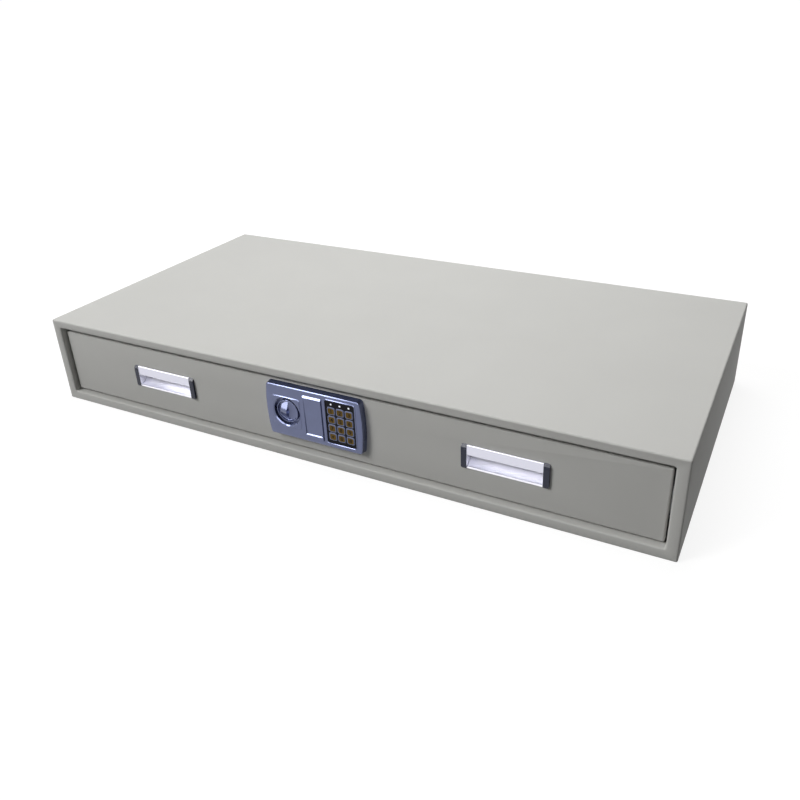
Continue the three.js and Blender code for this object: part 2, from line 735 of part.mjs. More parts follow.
// Moulded end cap: a rounded front block with two ribs and a plug that closes the trough's end
function handleCap(name, side) {
  const inner = HANDLE_LENGTH / 2 - CAP_LENGTH + SEAT;
  const outer = HANDLE_LENGTH / 2;
  const across = (outline, from, to) => alongX(
    outline,
    Math.min(side * from, side * to),
    Math.max(side * from, side * to),
  );
  const outline = [
    [inner, -handleTop],
    ...arc([outer - CAP_CORNER, CAP_CORNER - handleTop], CAP_CORNER, -Math.PI / 2, 0).map((point) => point.toArray()),
    ...arc([outer - CAP_CORNER, handleTop - CAP_CORNER], CAP_CORNER, 0, Math.PI / 2).map((point) => point.toArray()),
    [inner, handleTop],
  ].map(([x, z]) => [side * x, z]);
  const edgeY = CAP_EDGE - CAP_PROUD;
  const section = [
    ...arc([edgeY, handleTop - CAP_EDGE], CAP_EDGE, Math.PI, Math.PI / 2).map((point) => point.toArray()),
    [PAST, handleTop],
    [PAST, -handleTop],
    ...arc([edgeY, CAP_EDGE - handleTop], CAP_EDGE, Math.PI * 1.5, Math.PI).map((point) => point.toArray()),
  ];
  const block = alongY(polygon(outline), -CAP_PROUD, 0).intersect(alongX(polygon(section), -outer, outer));
  const ribs = CAP_RIB_DROPS.map((drop) => across(
    roundedRectangle(1, CAP_RIB_WIDTH, 0.4, [-CAP_PROUD, handleTop - drop]),
    inner + CAP_RIB_INSET,
    outer - CAP_RIB_INSET,
  ));
  const plugOutline = [
    [-CAP_PROUD / 2, handleSeam],
    [handleBack, handleSeam],
    ...troughArc(TROUGH_RADIUS),
    [TROUGH_TOE, -handleSeam],
    [-CAP_PROUD / 2, -handleSeam],
  ];
  const plug = across(polygon(plugOutline), inner, inner + CAP_PLUG - SEAT);
  return piece(name, join(block, ...ribs, plug), navyPlastic);
}

function handle(hand, side) {
  const group = new THREE.Group();
  group.position.set(side * handleX, 0, handleZ);
  group.add(handleProfile(`handle_flap_${hand}`, flapSection()));
  group.add(handleProfile(`handle_trough_${hand}`, troughSection()));
  group.add(handleCap(`handle_${hand}_cap_left`, -1));
  group.add(handleCap(`handle_${hand}_cap_right`, 1));
  return group;
}

// Lock panel; x and z are measured from the panel's middle

// Rounded rectangle whose left and right sides bulge by the bow
function bowedLoop(grow, y) {
  const halfWidth = PANEL_HALF_WIDTH + grow;
  const halfHeight = PANEL_HALF_HEIGHT + grow;
  const corner = Math.max(PANEL_CORNER + grow, 0.5);
  const sideSteps = 8;
  const base = roundedRectangle(2 * halfWidth, 2 * halfHeight, corner, [0, 0], 4);
  const loop = [];
  base.forEach((point, index) => {
    loop.push(point);
    const next = base[(index + 1) % base.length];
    if (Math.abs(next.x - point.x) < 1e-6 && Math.abs(next.y - point.y) > halfHeight) {
      for (let step = 1; step < sideSteps; step++) loop.push(point.clone().lerp(next, step / sideSteps));
    }
  });
  return loop.map((point) => {
    const bulge = PANEL_BOW * (1 - (point.y / halfHeight) ** 2);
    return [point.x + Math.sign(point.x) * bulge, y, point.y];
  });
}

function panelShell() {
  const edge = arc([-PANEL_EDGE, panelFace + PANEL_EDGE], PANEL_EDGE, 0, -Math.PI / 2, 4);
  const outer = loft([
    bowedLoop(PANEL_DRAFT, 0),
    ...edge.map((point) => bowedLoop(point.x, point.y)),
  ], false);
  const hollow = loft([
    bowedLoop(PANEL_DRAFT - PANEL_WALL, PAST),
    bowedLoop(-PANEL_WALL, panelFace + PANEL_FACE),
  ], false);
  return cut(outer, hollow);
}

// Rounded block along Y whose loops grow or shrink; each step holds the growth and the y
function stepped(width, height, corner, centre, steps) {
  return loft(steps.map(([grow, y]) => roundedRectangle(
    width + 2 * grow,
    height + 2 * grow,
    Math.max(corner + grow, 0.3),
    centre,
  ).map((point) => [point.x, y, point.y])), false);
}

// Walls that stand behind an opening in the panel's face, down to the given y
function pocketWalls(width, height, corner, centre, floor) {
  const outline = roundedRectangle(width + 2 * POCKET_WALL, height + 2 * POCKET_WALL, corner + POCKET_WALL, centre);
  return alongY(outline, panelFace + PANEL_FACE - 0.5, floor);
}

function lockPanel() {
  const inFront = panelFace - 3;
  const plateFront = panelFace - KNOB_PLATE_RAISE;
  const recessMouth = KNOB_RECESS_RADIUS + KNOB_RECESS_CHAMFER;
  const recess = turnedAboutY([
    [0, inFront],
    [recessMouth, inFront],
    [recessMouth, plateFront],
    [KNOB_RECESS_RADIUS, plateFront + KNOB_RECESS_CHAMFER],
    [KNOB_RECESS_RADIUS - KNOB_RECESS_TAPER, recessFloor],
    [0, recessFloor],
  ], [KNOB_X, 0], 48);
  const cup = alongY(
    circle(KNOB_RECESS_RADIUS + POCKET_WALL, [KNOB_X, 0], 32),
    panelFace + PANEL_FACE - 0.5,
    recessFloor + POCKET_WALL,
  );
  const knobPlate = stepped(KNOB_PLATE_WIDTH, KNOB_PLATE_HEIGHT, KNOB_PLATE_CORNER, [KNOB_X, COVER_Z], [
    [0, panelFace + 1],
    [0, panelFace],
    [-0.4, plateFront + 0.2],
    [-KNOB_PLATE_RAISE, plateFront],
  ]);
  const pocketWidth = COVER_WIDTH + 2 * COVER_CLEARANCE;
  const pocketHeight = COVER_HEIGHT + 2 * COVER_CLEARANCE;
  const pocketFloor = panelFace + COVER_DEPTH;
  const pocket = alongY(
    roundedRectangle(pocketWidth, pocketHeight, COVER_CORNER + COVER_CLEARANCE, [COVER_X, COVER_Z]),
    inFront,
    pocketFloor,
  );
  const windowCentre = [WINDOW_X, WINDOW_Z];
  const bead = stepped(WINDOW_WIDTH + 2 * FRAME_BEAD, WINDOW_HEIGHT + 2 * FRAME_BEAD, WINDOW_CORNER + FRAME_BEAD, windowCentre, [
    [0, panelFace + 1],
    [0, panelFace],
    [-0.2, panelFace - FRAME_BEAD_PROUD * 0.7],
    [-FRAME_BEAD_EDGE, panelFace - FRAME_BEAD_PROUD],
  ]);
  const windowCut = stepped(WINDOW_WIDTH, WINDOW_HEIGHT, WINDOW_CORNER, windowCentre, [
    [FRAME_BEAD_EDGE, panelFace - FRAME_BEAD_PROUD - PAST],
    [FRAME_BEAD_EDGE, panelFace - FRAME_BEAD_PROUD],
    [0.1, panelFace - FRAME_BEAD_PROUD * 0.4],
    [0, panelFace],
    [0, ledgeFace],
  ]);
  const through = alongY(
    roundedRectangle(
      WINDOW_WIDTH - 2 * WINDOW_LEDGE,
      WINDOW_HEIGHT - 2 * WINDOW_LEDGE,
      WINDOW_CORNER - WINDOW_LEDGE,
      windowCentre,
    ),
    inFront,
    0,
  );
  const posts = [];
  for (const signX of [-1, 1]) {
    for (const signZ of [-1, 1]) {
      const centre = [WINDOW_X + signX * (WINDOW_WIDTH / 2), WINDOW_Z + signZ * (WINDOW_HEIGHT / 2)];
      posts.push(alongY(circle(POST_RADIUS, centre, 12), ledgeFace + 0.6, boardFace - SEAT));
    }
  }
  const body = join(
    panelShell(),
    knobPlate,
    bead,
    cup,
    pocketWalls(pocketWidth, pocketHeight, COVER_CORNER, [COVER_X, COVER_Z], pocketFloor + POCKET_WALL),
    pocketWalls(WINDOW_WIDTH, WINDOW_HEIGHT, WINDOW_CORNER, windowCentre, ledgeFace + POCKET_WALL),
  );
  const opened = cut(
    body,
    recess,
    pocket,
    windowCut,
    through,
    alongY(circle(SPINDLE_RADIUS + RUNNING, [KNOB_X, 0]), recessFloor - PAST, 0),
    alongY(circle(KEY_BODY_RADIUS + RUNNING, [COVER_X, COVER_Z]), pocketFloor - PAST, 0),
  );
  return piece('lock_panel', join(opened, ...posts), panelPlastic);
}

// Cover with a broad slope along its top and a dish that deepens down to a finger ledge
function emergencyCover() {
  const back = panelFace + COVER_DEPTH - SEAT;
  const front = panelFace - COVER_RAISE;
  const top = COVER_Z + COVER_HEIGHT / 2;
  const foot = COVER_Z - COVER_HEIGHT / 2;
  const block = stepped(COVER_WIDTH, COVER_HEIGHT, COVER_CORNER, [COVER_X, COVER_Z], [
    [0, back],
    [0, front + COVER_EDGE],
    [-COVER_EDGE, front],
  ]);
  const slope = alongX(
    polygon([
      [front - PAST, top + PAST],
      [front - PAST, top - COVER_TOP_SLOPE],
      [front, top - COVER_TOP_SLOPE],
      [panelFace, top],
      [panelFace, top + PAST],
    ]),
    COVER_X - COVER_WIDTH,
    COVER_X + COVER_WIDTH,
  );
  const dishEnd = foot + COVER_DISH_BOTTOM;
  const dish = alongX(
    polygon([
      [front - PAST, top - COVER_DISH_TOP],
      [front - PAST, dishEnd - COVER_DISH_LEDGE],
      [front, dishEnd - COVER_DISH_LEDGE],
      [front + COVER_DISH_DEPTH, dishEnd],
      [front + COVER_DISH_DEPTH * 0.3, top - COVER_DISH_TOP],
    ]),
    COVER_X - COVER_WIDTH / 2 + COVER_DISH_SIDE,
    COVER_X + COVER_WIDTH / 2 - COVER_DISH_SIDE,
  );
  return piece('emergency_cover', cut(block, slope, dish), panelPlastic);
}

// Keypad

function keyCentre(column, row) {
  return [WINDOW_X + (column - 1) * KEY_PITCH_X, KEY_TOP_ROW_Z - row * KEY_PITCH_Z];
}

function ledCentre(column) {
  return [WINDOW_X + (column - 1) * KEY_PITCH_X, LED_Z];
}

function keypadPlate() {
  const plate = alongY(
    roundedRectangle(WINDOW_WIDTH - 2 * SEAT, WINDOW_HEIGHT - 2 * SEAT, WINDOW_CORNER - SEAT, [WINDOW_X, WINDOW_Z]),
    plateFace,
    plateBack,
  );
  const holes = [];
  for (let column = 0; column < 3; column++) {
    for (let row = 0; row < 4; row++) {
      const outline = roundedRectangle(
        KEY_WIDTH + 2 * KEY_CLEARANCE,
        KEY_HEIGHT + 2 * KEY_CLEARANCE,
        KEY_CORNER + KEY_CLEARANCE,
        keyCentre(column, row),
      );
      holes.push(alongY(outline, plateFace - PAST, plateBack + PAST));
    }
    const lampHole = circle(LED_RADIUS + KEY_CLEARANCE, ledCentre(column), 16);
    holes.push(alongY(lampHole, plateFace - PAST, plateBack + PAST));
  }
  return piece('keypad_plate', cut(plate, ...holes), blackPlastic);
}

// Cap with a soft front edge, a flange behind the plate and a stem down to the contact mat
function key(name, column, row) {
  const centre = keyCentre(column, row);
  const front = plateFace - KEY_PROUD;
  const flange = plateBack + KEY_CLEARANCE;
  const cap = stepped(KEY_WIDTH, KEY_HEIGHT, KEY_CORNER, centre, [
    [-KEY_SOFT, front],
    [-KEY_SOFT * 0.3, front + KEY_SOFT * 0.3],
    [0, front + KEY_SOFT],
    [0, flange],
    [KEY_FLANGE, flange],
    [KEY_FLANGE, flange + KEY_FLANGE_THICKNESS],
  ]);
  const stemEnd = boardFace - SEAT - MAT_THICKNESS - KEY_TRAVEL - KEY_CLEARANCE;
  const stem = alongY(circle(KEY_STEM_RADIUS, centre, 12), flange, stemEnd);
  return piece(name, join(cap, stem), keyPlastic);
}

function lamp(name, column) {
  const tip = plateFace - LED_PROUD;
  return piece(name, turnedAboutY([
    [0, tip],
    [LED_RADIUS * 0.6, tip + 0.25],
    [LED_RADIUS, tip + 1],
    [LED_RADIUS, boardFace - SEAT],
    [0, boardFace - SEAT],
  ], ledCentre(column), 16), lampPlastic);
}

function contactMat() {
  const middleZ = KEY_TOP_ROW_Z - 1.5 * KEY_PITCH_Z;
  const outline = roundedRectangle(3 * KEY_PITCH_X - 1, 4 * KEY_PITCH_Z - 1, 2, [WINDOW_X, middleZ]);
  return piece('contact_mat', alongY(outline, boardFace - SEAT - MAT_THICKNESS, boardFace - SEAT), matRubber);
}

function circuitBoard() {
  const outline = roundedRectangle(WINDOW_WIDTH + 5, WINDOW_HEIGHT + 4, 2, [WINDOW_X, WINDOW_Z]);
  const board = alongY(outline, boardFace, boardFace + BOARD_THICKNESS);
  const socket = alongY(
    roundedRectangle(12, 6, 0.5, [WINDOW_X, -PANEL_HALF_HEIGHT / 2]),
    boardFace + BOARD_THICKNESS - 0.2,
    -SEAT,
  );
  return piece('circuit_board', join(board, socket), boardGreen);
}

// Knob, spindle and crank

// How far the knob's face lies behind its rim: two bowls with a swaying crest between them.
// Across each bowl the depth follows a skewed half wave from the crest out to the rim.
function bowlDepth(x, z, radius) {
  const crest = KNOB_CREST_SWAY * Math.sin(Math.PI * z / radius);
  const fromCrest = Math.abs(x - crest);
  const fromRim = radius - Math.hypot(x, z);
  const width = Math.max(fromCrest + fromRim, 1e-6);
  const wave = Math.sin(Math.PI * (fromCrest / width) ** KNOB_BOWL_SKEW);
  const bowl = KNOB_BOWL_DEPTH * (width / radius) ** 1.2 * Math.max(wave, 0);
  const falloff = Math.sqrt(Math.max(0, 1 - (z / radius) ** 2));
  return bowl - KNOB_CREST_RAISE * Math.exp(-((fromCrest / KNOB_CREST_WIDTH) ** 2)) * falloff;
}

// The face is a net of chords from rim to crest to rim; stacked loops close its rim, side and back
function knob() {
  const back = recessFloor - RUNNING;
  const front = panelFace + KNOB_SUNK;
  const inner = KNOB_RADIUS - KNOB_RIM;
  const rows = 24;
  const halfColumns = 7;
  const points = [];
  const faces = [];
  const net = [];
  const add = (x, y, z) => points.push([KNOB_X + x, y, z]) - 1;
  for (let row = 0; row <= rows; row++) {
    const angle = (row / rows - 0.5) * Math.PI;
    const z = inner * Math.sin(angle);
    const half = inner * Math.cos(angle);
    const crest = KNOB_CREST_SWAY * Math.sin(Math.PI * z / inner);
    const line = [];
    const pole = row === 0 || row === rows;
    for (let column = -halfColumns; column <= halfColumns; column++) {
      if (pole && column > -halfColumns) {
        line.push(line[0]);
        continue;
      }
      const share = Math.abs(column) / halfColumns;
      const x = pole ? 0 : crest * (1 - share) + Math.sign(column) * half * share;
      line.push(add(x, front + (pole ? 0 : bowlDepth(x, z, inner)), z));
    }
    net.push(line);
  }
  const triangle = (a, b, c) => {
    if (a !== b && b !== c && c !== a) faces.push(a, b, c);
  };
  for (let row = 0; row < rows; row++) {
    for (let column = 0; column < 2 * halfColumns; column++) {
      const [a, b] = [net[row][column], net[row][column + 1]];
      const [c, d] = [net[row + 1][column + 1], net[row + 1][column]];
      triangle(a, b, c);
      triangle(a, c, d);
    }
  }
  const rightSide = net.map((line) => line[2 * halfColumns]);
  const leftSide = net.slice(1, -1).map((line) => line[0]).reverse();
  let loop = [...rightSide, ...leftSide];
  const rounds = [
    [KNOB_RADIUS - KNOB_RIM_EDGE, front],
    [KNOB_RADIUS, front + KNOB_RIM_EDGE],
    [KNOB_RADIUS, back],
  ];
  for (const [radius, y] of rounds) {
    const next = loop.map((_, index) => {
      const angle = (index / rows - 0.5) * Math.PI;
      return add(radius * Math.cos(angle), y, radius * Math.sin(angle));
    });
    loop.forEach((here, index) => {
      const after = (index + 1) % loop.length;
      triangle(here, next[index], next[after]);
      triangle(here, next[after], loop[after]);
    });
    loop = next;
  }
  const hub = add(0, back, 0);
  loop.forEach((here, index) => triangle(here, hub, loop[(index + 1) % loop.length]));
  const geometry = new THREE.BufferGeometry();
  geometry.setAttribute('position', new THREE.Float32BufferAttribute(points.flat(), 3));
  geometry.setIndex(faces);
  return piece('knob', solid(geometry), panelPlastic);
}

function spindle() {
  const centre = [LOCK_X + KNOB_X, lockZ];
  const body = alongY(circle(SPINDLE_RADIUS, centre), recessFloor - RUNNING + SEAT, crankBack);
  return piece('knob_spindle', body, zincSteel);
}

// Crank on the spindle; its pin starts below level and lifts the carriage through a quarter turn
function crank() {
  const centre = new THREE.Vector2(LOCK_X + KNOB_X, lockZ);
  const reach = new THREE.Vector2(CRANK_RADIUS, 0).rotateAround(new THREE.Vector2(), -KNOB_TURN / 2);
  const pinCentre = centre.clone().add(reach);
  const hub = alongY(circle(SPINDLE_RADIUS + 3.5, centre.toArray()), crankFront, crankBack);
  const eye = alongY(circle(CRANK_PIN_RADIUS + 2, pinCentre.toArray()), crankFront, crankBack);
  const sideways = new THREE.Vector2(-reach.y, reach.x).setLength(4);
  const arm = alongY([
    centre.clone().add(sideways),
    centre.clone().sub(sideways),
    pinCentre.clone().sub(sideways),
    pinCentre.clone().add(sideways),
  ], crankFront, crankBack);
  const pin = alongY(circle(CRANK_PIN_RADIUS, pinCentre.toArray()), crankBack - 0.5, carriageFront + CARRIAGE_SHEET + 1);
  const bore = alongY(circle(SPINDLE_RADIUS + SEAT, centre.toArray()), crankFront - PAST, crankBack + PAST);
  return piece('knob_crank', join(cut(join(hub, eye, arm), bore), pin), zincSteel);
}

// Bolts and the folded plate that carries them

function boltCarriage() {
  const middle = carriageMiddle;
  const shelf = carriageBottom + CARRIAGE_SHEET / 2;
  const back = boltY + BOLT_RADIUS + 0.5;
  const angle = alongX(
    bentStrip([[middle, carriageBottom + CARRIAGE_BAR_HEIGHT], [middle, shelf], [back, shelf]], CARRIAGE_SHEET),
    LOCK_X - CARRIAGE_HALF_WIDTH,
    LOCK_X + CARRIAGE_HALF_WIDTH,
  );
  const uprightFoot = carriageBottom + 2 * CARRIAGE_SHEET;
  const upright = (centre, width, top) => alongY(
    roundedRectangle(width, top - uprightFoot, 2, [centre, (top + uprightFoot) / 2]),
    carriageFront,
    carriageFront + CARRIAGE_SHEET,
  );
  const pinX = LOCK_X + KNOB_X + CRANK_RADIUS * (1 + Math.cos(KNOB_TURN / 2)) / 2;
  const pinZ = lockZ - CRANK_RADIUS * Math.sin(KNOB_TURN / 2);
  const slotHeight = 2 * (CRANK_PIN_RADIUS + PIN_SLOT_CLEARANCE);
  const slotWidth = CRANK_RADIUS * (1 - Math.cos(KNOB_TURN / 2)) + slotHeight + 0.4;
  const slot = alongY(
    roundedRectangle(slotWidth, slotHeight, slotHeight / 2, [pinX, pinZ], 5),
    carriageFront - PAST,
    carriageFront + CARRIAGE_SHEET + PAST,
  );
  const latchX = LOCK_X + COVER_X;
  const notch = alongY(
    roundedRectangle(
      2 * LATCH_NOTCH,
      2 * PLUNGER_RADIUS + 1,
      0.4,
      [latchX + LATCH_HALF_WIDTH, solenoidZ - boltThrow],
    ),
    carriageFront - PAST,
    carriageFront + CARRIAGE_SHEET + PAST,
  );
  const body = join(
    angle,
    upright(pinX, slotWidth + 8, pinZ + 8),
    upright(latchX, 2 * LATCH_HALF_WIDTH, solenoidZ + 6),
  );
  return piece('bolt_carriage', cut(body, slot, notch), zincSteel);
}

function bolt(name, side) {
  const centre = [LOCK_X + side * BOLT_SPREAD, boltY];
  const foot = carriageBottom + CARRIAGE_SHEET + SEAT;
  return piece(name, turnedAboutZ([
    [0, foot],
    [BOLT_RADIUS - 0.6, foot],
    [BOLT_RADIUS, foot + 0.6],
    [BOLT_RADIUS, boltTop - 2],
    [BOLT_RADIUS - 2, boltTop],
    [0, boltTop],
  ], centre), brightSteel);
}

// Solenoid with a spring-loaded plunger that drops into the latch notch when the bolts are out

const latchFlank = LOCK_X + COVER_X + LATCH_HALF_WIDTH;
const solenoidStart = latchFlank + PLUNGER_REACH;

function solenoidBody() {
  const outline = roundedRectangle(2 * SOLENOID_HALF, 2 * SOLENOID_HALF, 1.5, [carriageMiddle, solenoidZ]);
  const body = alongX(outline, solenoidStart, solenoidStart + SOLENOID_LENGTH);
  const waist = [-1, 1].map((side) => alongX(
    roundedRectangle(2 * SOLENOID_HALF + 4, 2, 0.3, [carriageMiddle, solenoidZ + side * SOLENOID_HALF]),
    solenoidStart + 2,
    solenoidStart + SOLENOID_LENGTH - 2,
  ));
  const bore = alongX(
    circle(PLUNGER_RADIUS + SEAT, [carriageMiddle, solenoidZ]),
    solenoidStart - 1,
    solenoidStart + SOLENOID_LENGTH - 5,
  );
  return piece('solenoid_body', cut(body, ...waist, bore), coilBlack);
}

function solenoidPlunger() {
  const end = solenoidStart + SOLENOID_LENGTH - 6 - PLUNGER_TRAVEL;
  const rod = alongX(circle(PLUNGER_RADIUS, [carriageMiddle, solenoidZ]), latchFlank + RUNNING, end);
  return piece('solenoid_plunger', rod, brightSteel);
}

// Emergency key cylinder, its turning plug and the cam on the plug's tail

const keyCentreX = LOCK_X + COVER_X;
const keyCentreZ = lockZ + COVER_Z;
const keyFace = panelFace + COVER_DEPTH + SEAT;
const keyTail = trayFrontWall + 1.2;

function keyCylinder() {
  const centre = [keyCentreX, keyCentreZ];
  const body = alongY(circle(KEY_BODY_RADIUS, centre), keyFace, keyTail);
  const bore = alongY(circle(KEY_PLUG_RADIUS + 0.2, centre, 32), keyFace - PAST, keyTail + PAST);
  return piece('key_cylinder', cut(body, bore), brassMetal);
}

function keyPlug() {
  const centre = [keyCentreX, keyCentreZ];
  const body = alongY(circle(KEY_PLUG_RADIUS, centre, 32), keyFace + SEAT, keyTail + 0.6);
  const keyway = alongY(roundedRectangle(1.8, 7.4, 0.6, centre), keyFace - PAST, keyFace + 14);
  return piece('key_plug', cut(body, keyway), brassMetal);
}

function keyCam() {
  const start = keyTail + 0.6 + SEAT;
  const tip = keyCentreZ - KEY_CAM_REACH + 3;
  const outline = [
    ...arc([keyCentreX, keyCentreZ], 5, 0, Math.PI, 8),
    ...arc([keyCentreX, tip], 3, Math.PI, Math.PI * 2, 5),
  ];
  return piece('key_cam', alongY(outline, start, start + 1.6), zincSteel);
}

// Folded cover over the bolt work, with guide holes for the bolts and a window for the batteries

function lockCover() {
  const width = LOCK_COVER_RIGHT - LOCK_COVER_LEFT;
  const height = coverTop - coverBottom;
  const middleX = LOCK_X + (LOCK_COVER_RIGHT + LOCK_COVER_LEFT) / 2;
  const middleZ = (coverTop + coverBottom) / 2;
  const profile = panProfile(LOCK_COVER_SHEET, LOCK_COVER_DEPTH - SEAT);
  const body = pan(width, height, 2, profile, (x, z, level) => [middleX + x, coverRear - level, middleZ + z]);
  const guides = [-1, 1].map((side) => alongZ(
    circle(BOLT_RADIUS + BOLT_GUIDE, [LOCK_X + side * BOLT_SPREAD, boltY]),
    coverTop - LOCK_COVER_SHEET - PAST,
    coverTop + PAST,
  ));
  const battery = alongY(
    roundedRectangle(lidRimWidth + 2 * COVER_CLEARANCE, lidRimHeight + 2 * COVER_CLEARANCE, 1, [BATTERY_X, batteryZ]),
    coverRear - LOCK_COVER_SHEET - PAST,
    coverRear + PAST,
  );
  const reset = alongY(
    circle(RESET_RADIUS + RUNNING, [BATTERY_X, resetZ], 16),
    coverRear - LOCK_COVER_SHEET - PAST,
    coverRear + PAST,
  );
  return piece('lock_cover', cut(body, ...guides, battery, reset), powderCoat);
}

const caseWidth = BATTERY_COUNT * BATTERY_PITCH + 2 * BATTERY_CASE_WALL;
const caseHeight = BATTERY_LENGTH + 2.5 + 2 * BATTERY_CASE_WALL;
const caseRear = coverRear - LOCK_COVER_SHEET - SEAT;
const caseDepth = 2 * BATTERY_RADIUS + BATTERY_CASE_WALL + 2;
const batteryY = caseRear - caseDepth + BATTERY_CASE_WALL + BATTERY_RADIUS + SEAT;
const lidRimWidth = caseWidth - 2 * BATTERY_CASE_WALL - 2;
const lidRimHeight = caseHeight - 2 * BATTERY_CASE_WALL - 2;

function batteryX(index) {
  return BATTERY_X + (index - (BATTERY_COUNT - 1) / 2) * BATTERY_PITCH;
}

// Tub with a scalloped floor, one trough for each cell
function batteryCase() {
  const block = alongY(
    roundedRectangle(caseWidth, caseHeight, 2, [BATTERY_X, batteryZ]),
    caseRear - caseDepth,
    caseRear,
  );
  const mouth = alongY(
    roundedRectangle(caseWidth - 2 * BATTERY_CASE_WALL, caseHeight - 2 * BATTERY_CASE_WALL, 1, [BATTERY_X, batteryZ]),
    batteryY - BATTERY_RIDGE,
    caseRear + PAST,
  );
  const troughs = [];
  for (let index = 0; index < BATTERY_COUNT; index++) {
    troughs.push(alongZ(
      circle(BATTERY_RADIUS + SEAT, [batteryX(index), batteryY]),
      batteryZ - caseHeight / 2 + BATTERY_CASE_WALL,
      batteryZ + caseHeight / 2 - BATTERY_CASE_WALL,
    ));
  }
  return piece('battery_case', cut(block, mouth, ...troughs), blackPlastic);
}

// Cell stands up or down in turn, with a raised button at its positive end
function battery(name, index) {
  const up = index % 2 === 0 ? 1 : -1;
  const half = BATTERY_LENGTH / 2;
  const profile = [
    [0, -half],
    [BATTERY_RADIUS, -half],
    [BATTERY_RADIUS, half - 1.6],
    [2.7, half - 1.4],
    [2.7, half],
    [0, half],
  ].map(([radius, height]) => [radius, batteryZ + up * height]);
  return piece(name, turnedAboutZ(profile, [batteryX(index), batteryY], 20), batteryJacket);
}

function batteryLid() {
  const plate = alongY(
    roundedRectangle(lidRimWidth + 2 * LID_OVERLAP, lidRimHeight + 2 * LID_OVERLAP, 2, [BATTERY_X, batteryZ]),
    coverRear + SEAT,
    coverRear + SEAT + LID_THICKNESS,
  );
  const rim = alongY(
    roundedRectangle(lidRimWidth, lidRimHeight, 1, [BATTERY_X, batteryZ]),
    coverRear - LOCK_COVER_SHEET + 0.2,
    coverRear + SEAT + 0.5,
  );
  const hollow = alongY(
    roundedRectangle(lidRimWidth - 3, lidRimHeight - 3, 1, [BATTERY_X, batteryZ]),
    coverRear - LOCK_COVER_SHEET - PAST,
    coverRear + SEAT,
  );
  return piece('battery_lid', cut(join(plate, rim), hollow), blackPlastic);
}

function resetButton() {
  const wall = coverRear - LOCK_COVER_SHEET;
  return piece('reset_button', turnedAboutY([
    [0, wall - 5],
    [RESET_RADIUS, wall - 5],
    [RESET_RADIUS, wall - SEAT - 1.2],
    [RESET_RADIUS + RESET_FLANGE, wall - SEAT - 1.2],
    [RESET_RADIUS + RESET_FLANGE, wall - SEAT],
    [RESET_RADIUS, wall - SEAT],
    [RESET_RADIUS, coverRear + 1.6],
    [RESET_RADIUS - 0.5, coverRear + 2.1],
    [0, coverRear + 2.1],
  ], [BATTERY_X, resetZ], 16), resetRed);
}

// Assembly

function cabinetGroup() {
  const group = new THREE.Group();
  group.add(cabinetShell(), cabinetBack(), boltKeeper());
  for (const [hand, side] of [['left', -1], ['right', 1]]) {
    group.add(slideBracket(`slide_bracket_${hand}`, side));
    group.add(slideOuter(`slide_outer_${hand}`, side));
    group.add(slideMiddle(`slide_middle_${hand}`, side));
  }
  return group;
}

const KEY_NAMES = ['key_1', 'key_2', 'key_3', 'key_4', 'key_5', 'key_6',
  'key_7', 'key_8', 'key_9', 'key_clear', 'key_0', 'key_enter'];

function lockGroup() {
  const group = new THREE.Group();
  group.position.set(LOCK_X, 0, lockZ);
  group.add(lockPanel(), emergencyCover(), keypadPlate(), contactMat(), circuitBoard(), knob());
  KEY_NAMES.forEach((name, index) => group.add(key(name, index % 3, Math.floor(index / 3))));
  ['lamp_left', 'lamp_middle', 'lamp_right'].forEach((name, column) => group.add(lamp(name, column)));
  return group;
}

function drawerGroup() {
  const group = new THREE.Group();
  group.position.y = drawerPlane;
  group.add(drawerFront(), drawerTray(), handle('left', -1), handle('right', 1), lockGroup());
  group.add(slideInner('slide_inner_left', -1), slideInner('slide_inner_right', 1));
  group.add(spindle(), crank(), boltCarriage(), bolt('bolt_left', -1), bolt('bolt_right', 1));
  group.add(solenoidBody(), solenoidPlunger(), keyCylinder(), keyPlug(), keyCam());
  group.add(lockCover(), batteryCase(), batteryLid(), resetButton());
  for (let index = 0; index < BATTERY_COUNT; index++) group.add(battery(`battery_${index + 1}`, index));
  return group;
}

const safe = new THREE.Group();
safe.add(cabinetGroup(), drawerGroup());

export default safe;
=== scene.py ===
import json

import bmesh
import bpy
import numpy as np
from mathutils import Matrix, Vector

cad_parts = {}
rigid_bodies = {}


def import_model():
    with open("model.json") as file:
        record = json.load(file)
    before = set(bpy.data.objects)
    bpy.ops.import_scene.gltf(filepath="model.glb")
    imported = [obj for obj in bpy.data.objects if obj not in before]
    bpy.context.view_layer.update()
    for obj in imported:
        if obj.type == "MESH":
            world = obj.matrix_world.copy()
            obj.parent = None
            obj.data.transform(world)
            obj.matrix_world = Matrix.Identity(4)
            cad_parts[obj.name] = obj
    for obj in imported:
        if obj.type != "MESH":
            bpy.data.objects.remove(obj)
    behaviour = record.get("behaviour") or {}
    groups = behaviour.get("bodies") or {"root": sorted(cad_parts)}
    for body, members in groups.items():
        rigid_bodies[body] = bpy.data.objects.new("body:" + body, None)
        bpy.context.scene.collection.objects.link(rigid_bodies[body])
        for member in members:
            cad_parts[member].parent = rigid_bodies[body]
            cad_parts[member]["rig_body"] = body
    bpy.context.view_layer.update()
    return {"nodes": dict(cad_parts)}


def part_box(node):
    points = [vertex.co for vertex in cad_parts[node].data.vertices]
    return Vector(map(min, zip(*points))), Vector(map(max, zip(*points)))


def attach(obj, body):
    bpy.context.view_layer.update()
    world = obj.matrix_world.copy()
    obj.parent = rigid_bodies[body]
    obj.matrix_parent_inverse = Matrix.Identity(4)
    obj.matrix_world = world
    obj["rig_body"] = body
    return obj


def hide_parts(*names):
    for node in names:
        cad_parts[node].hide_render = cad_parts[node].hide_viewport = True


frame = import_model()


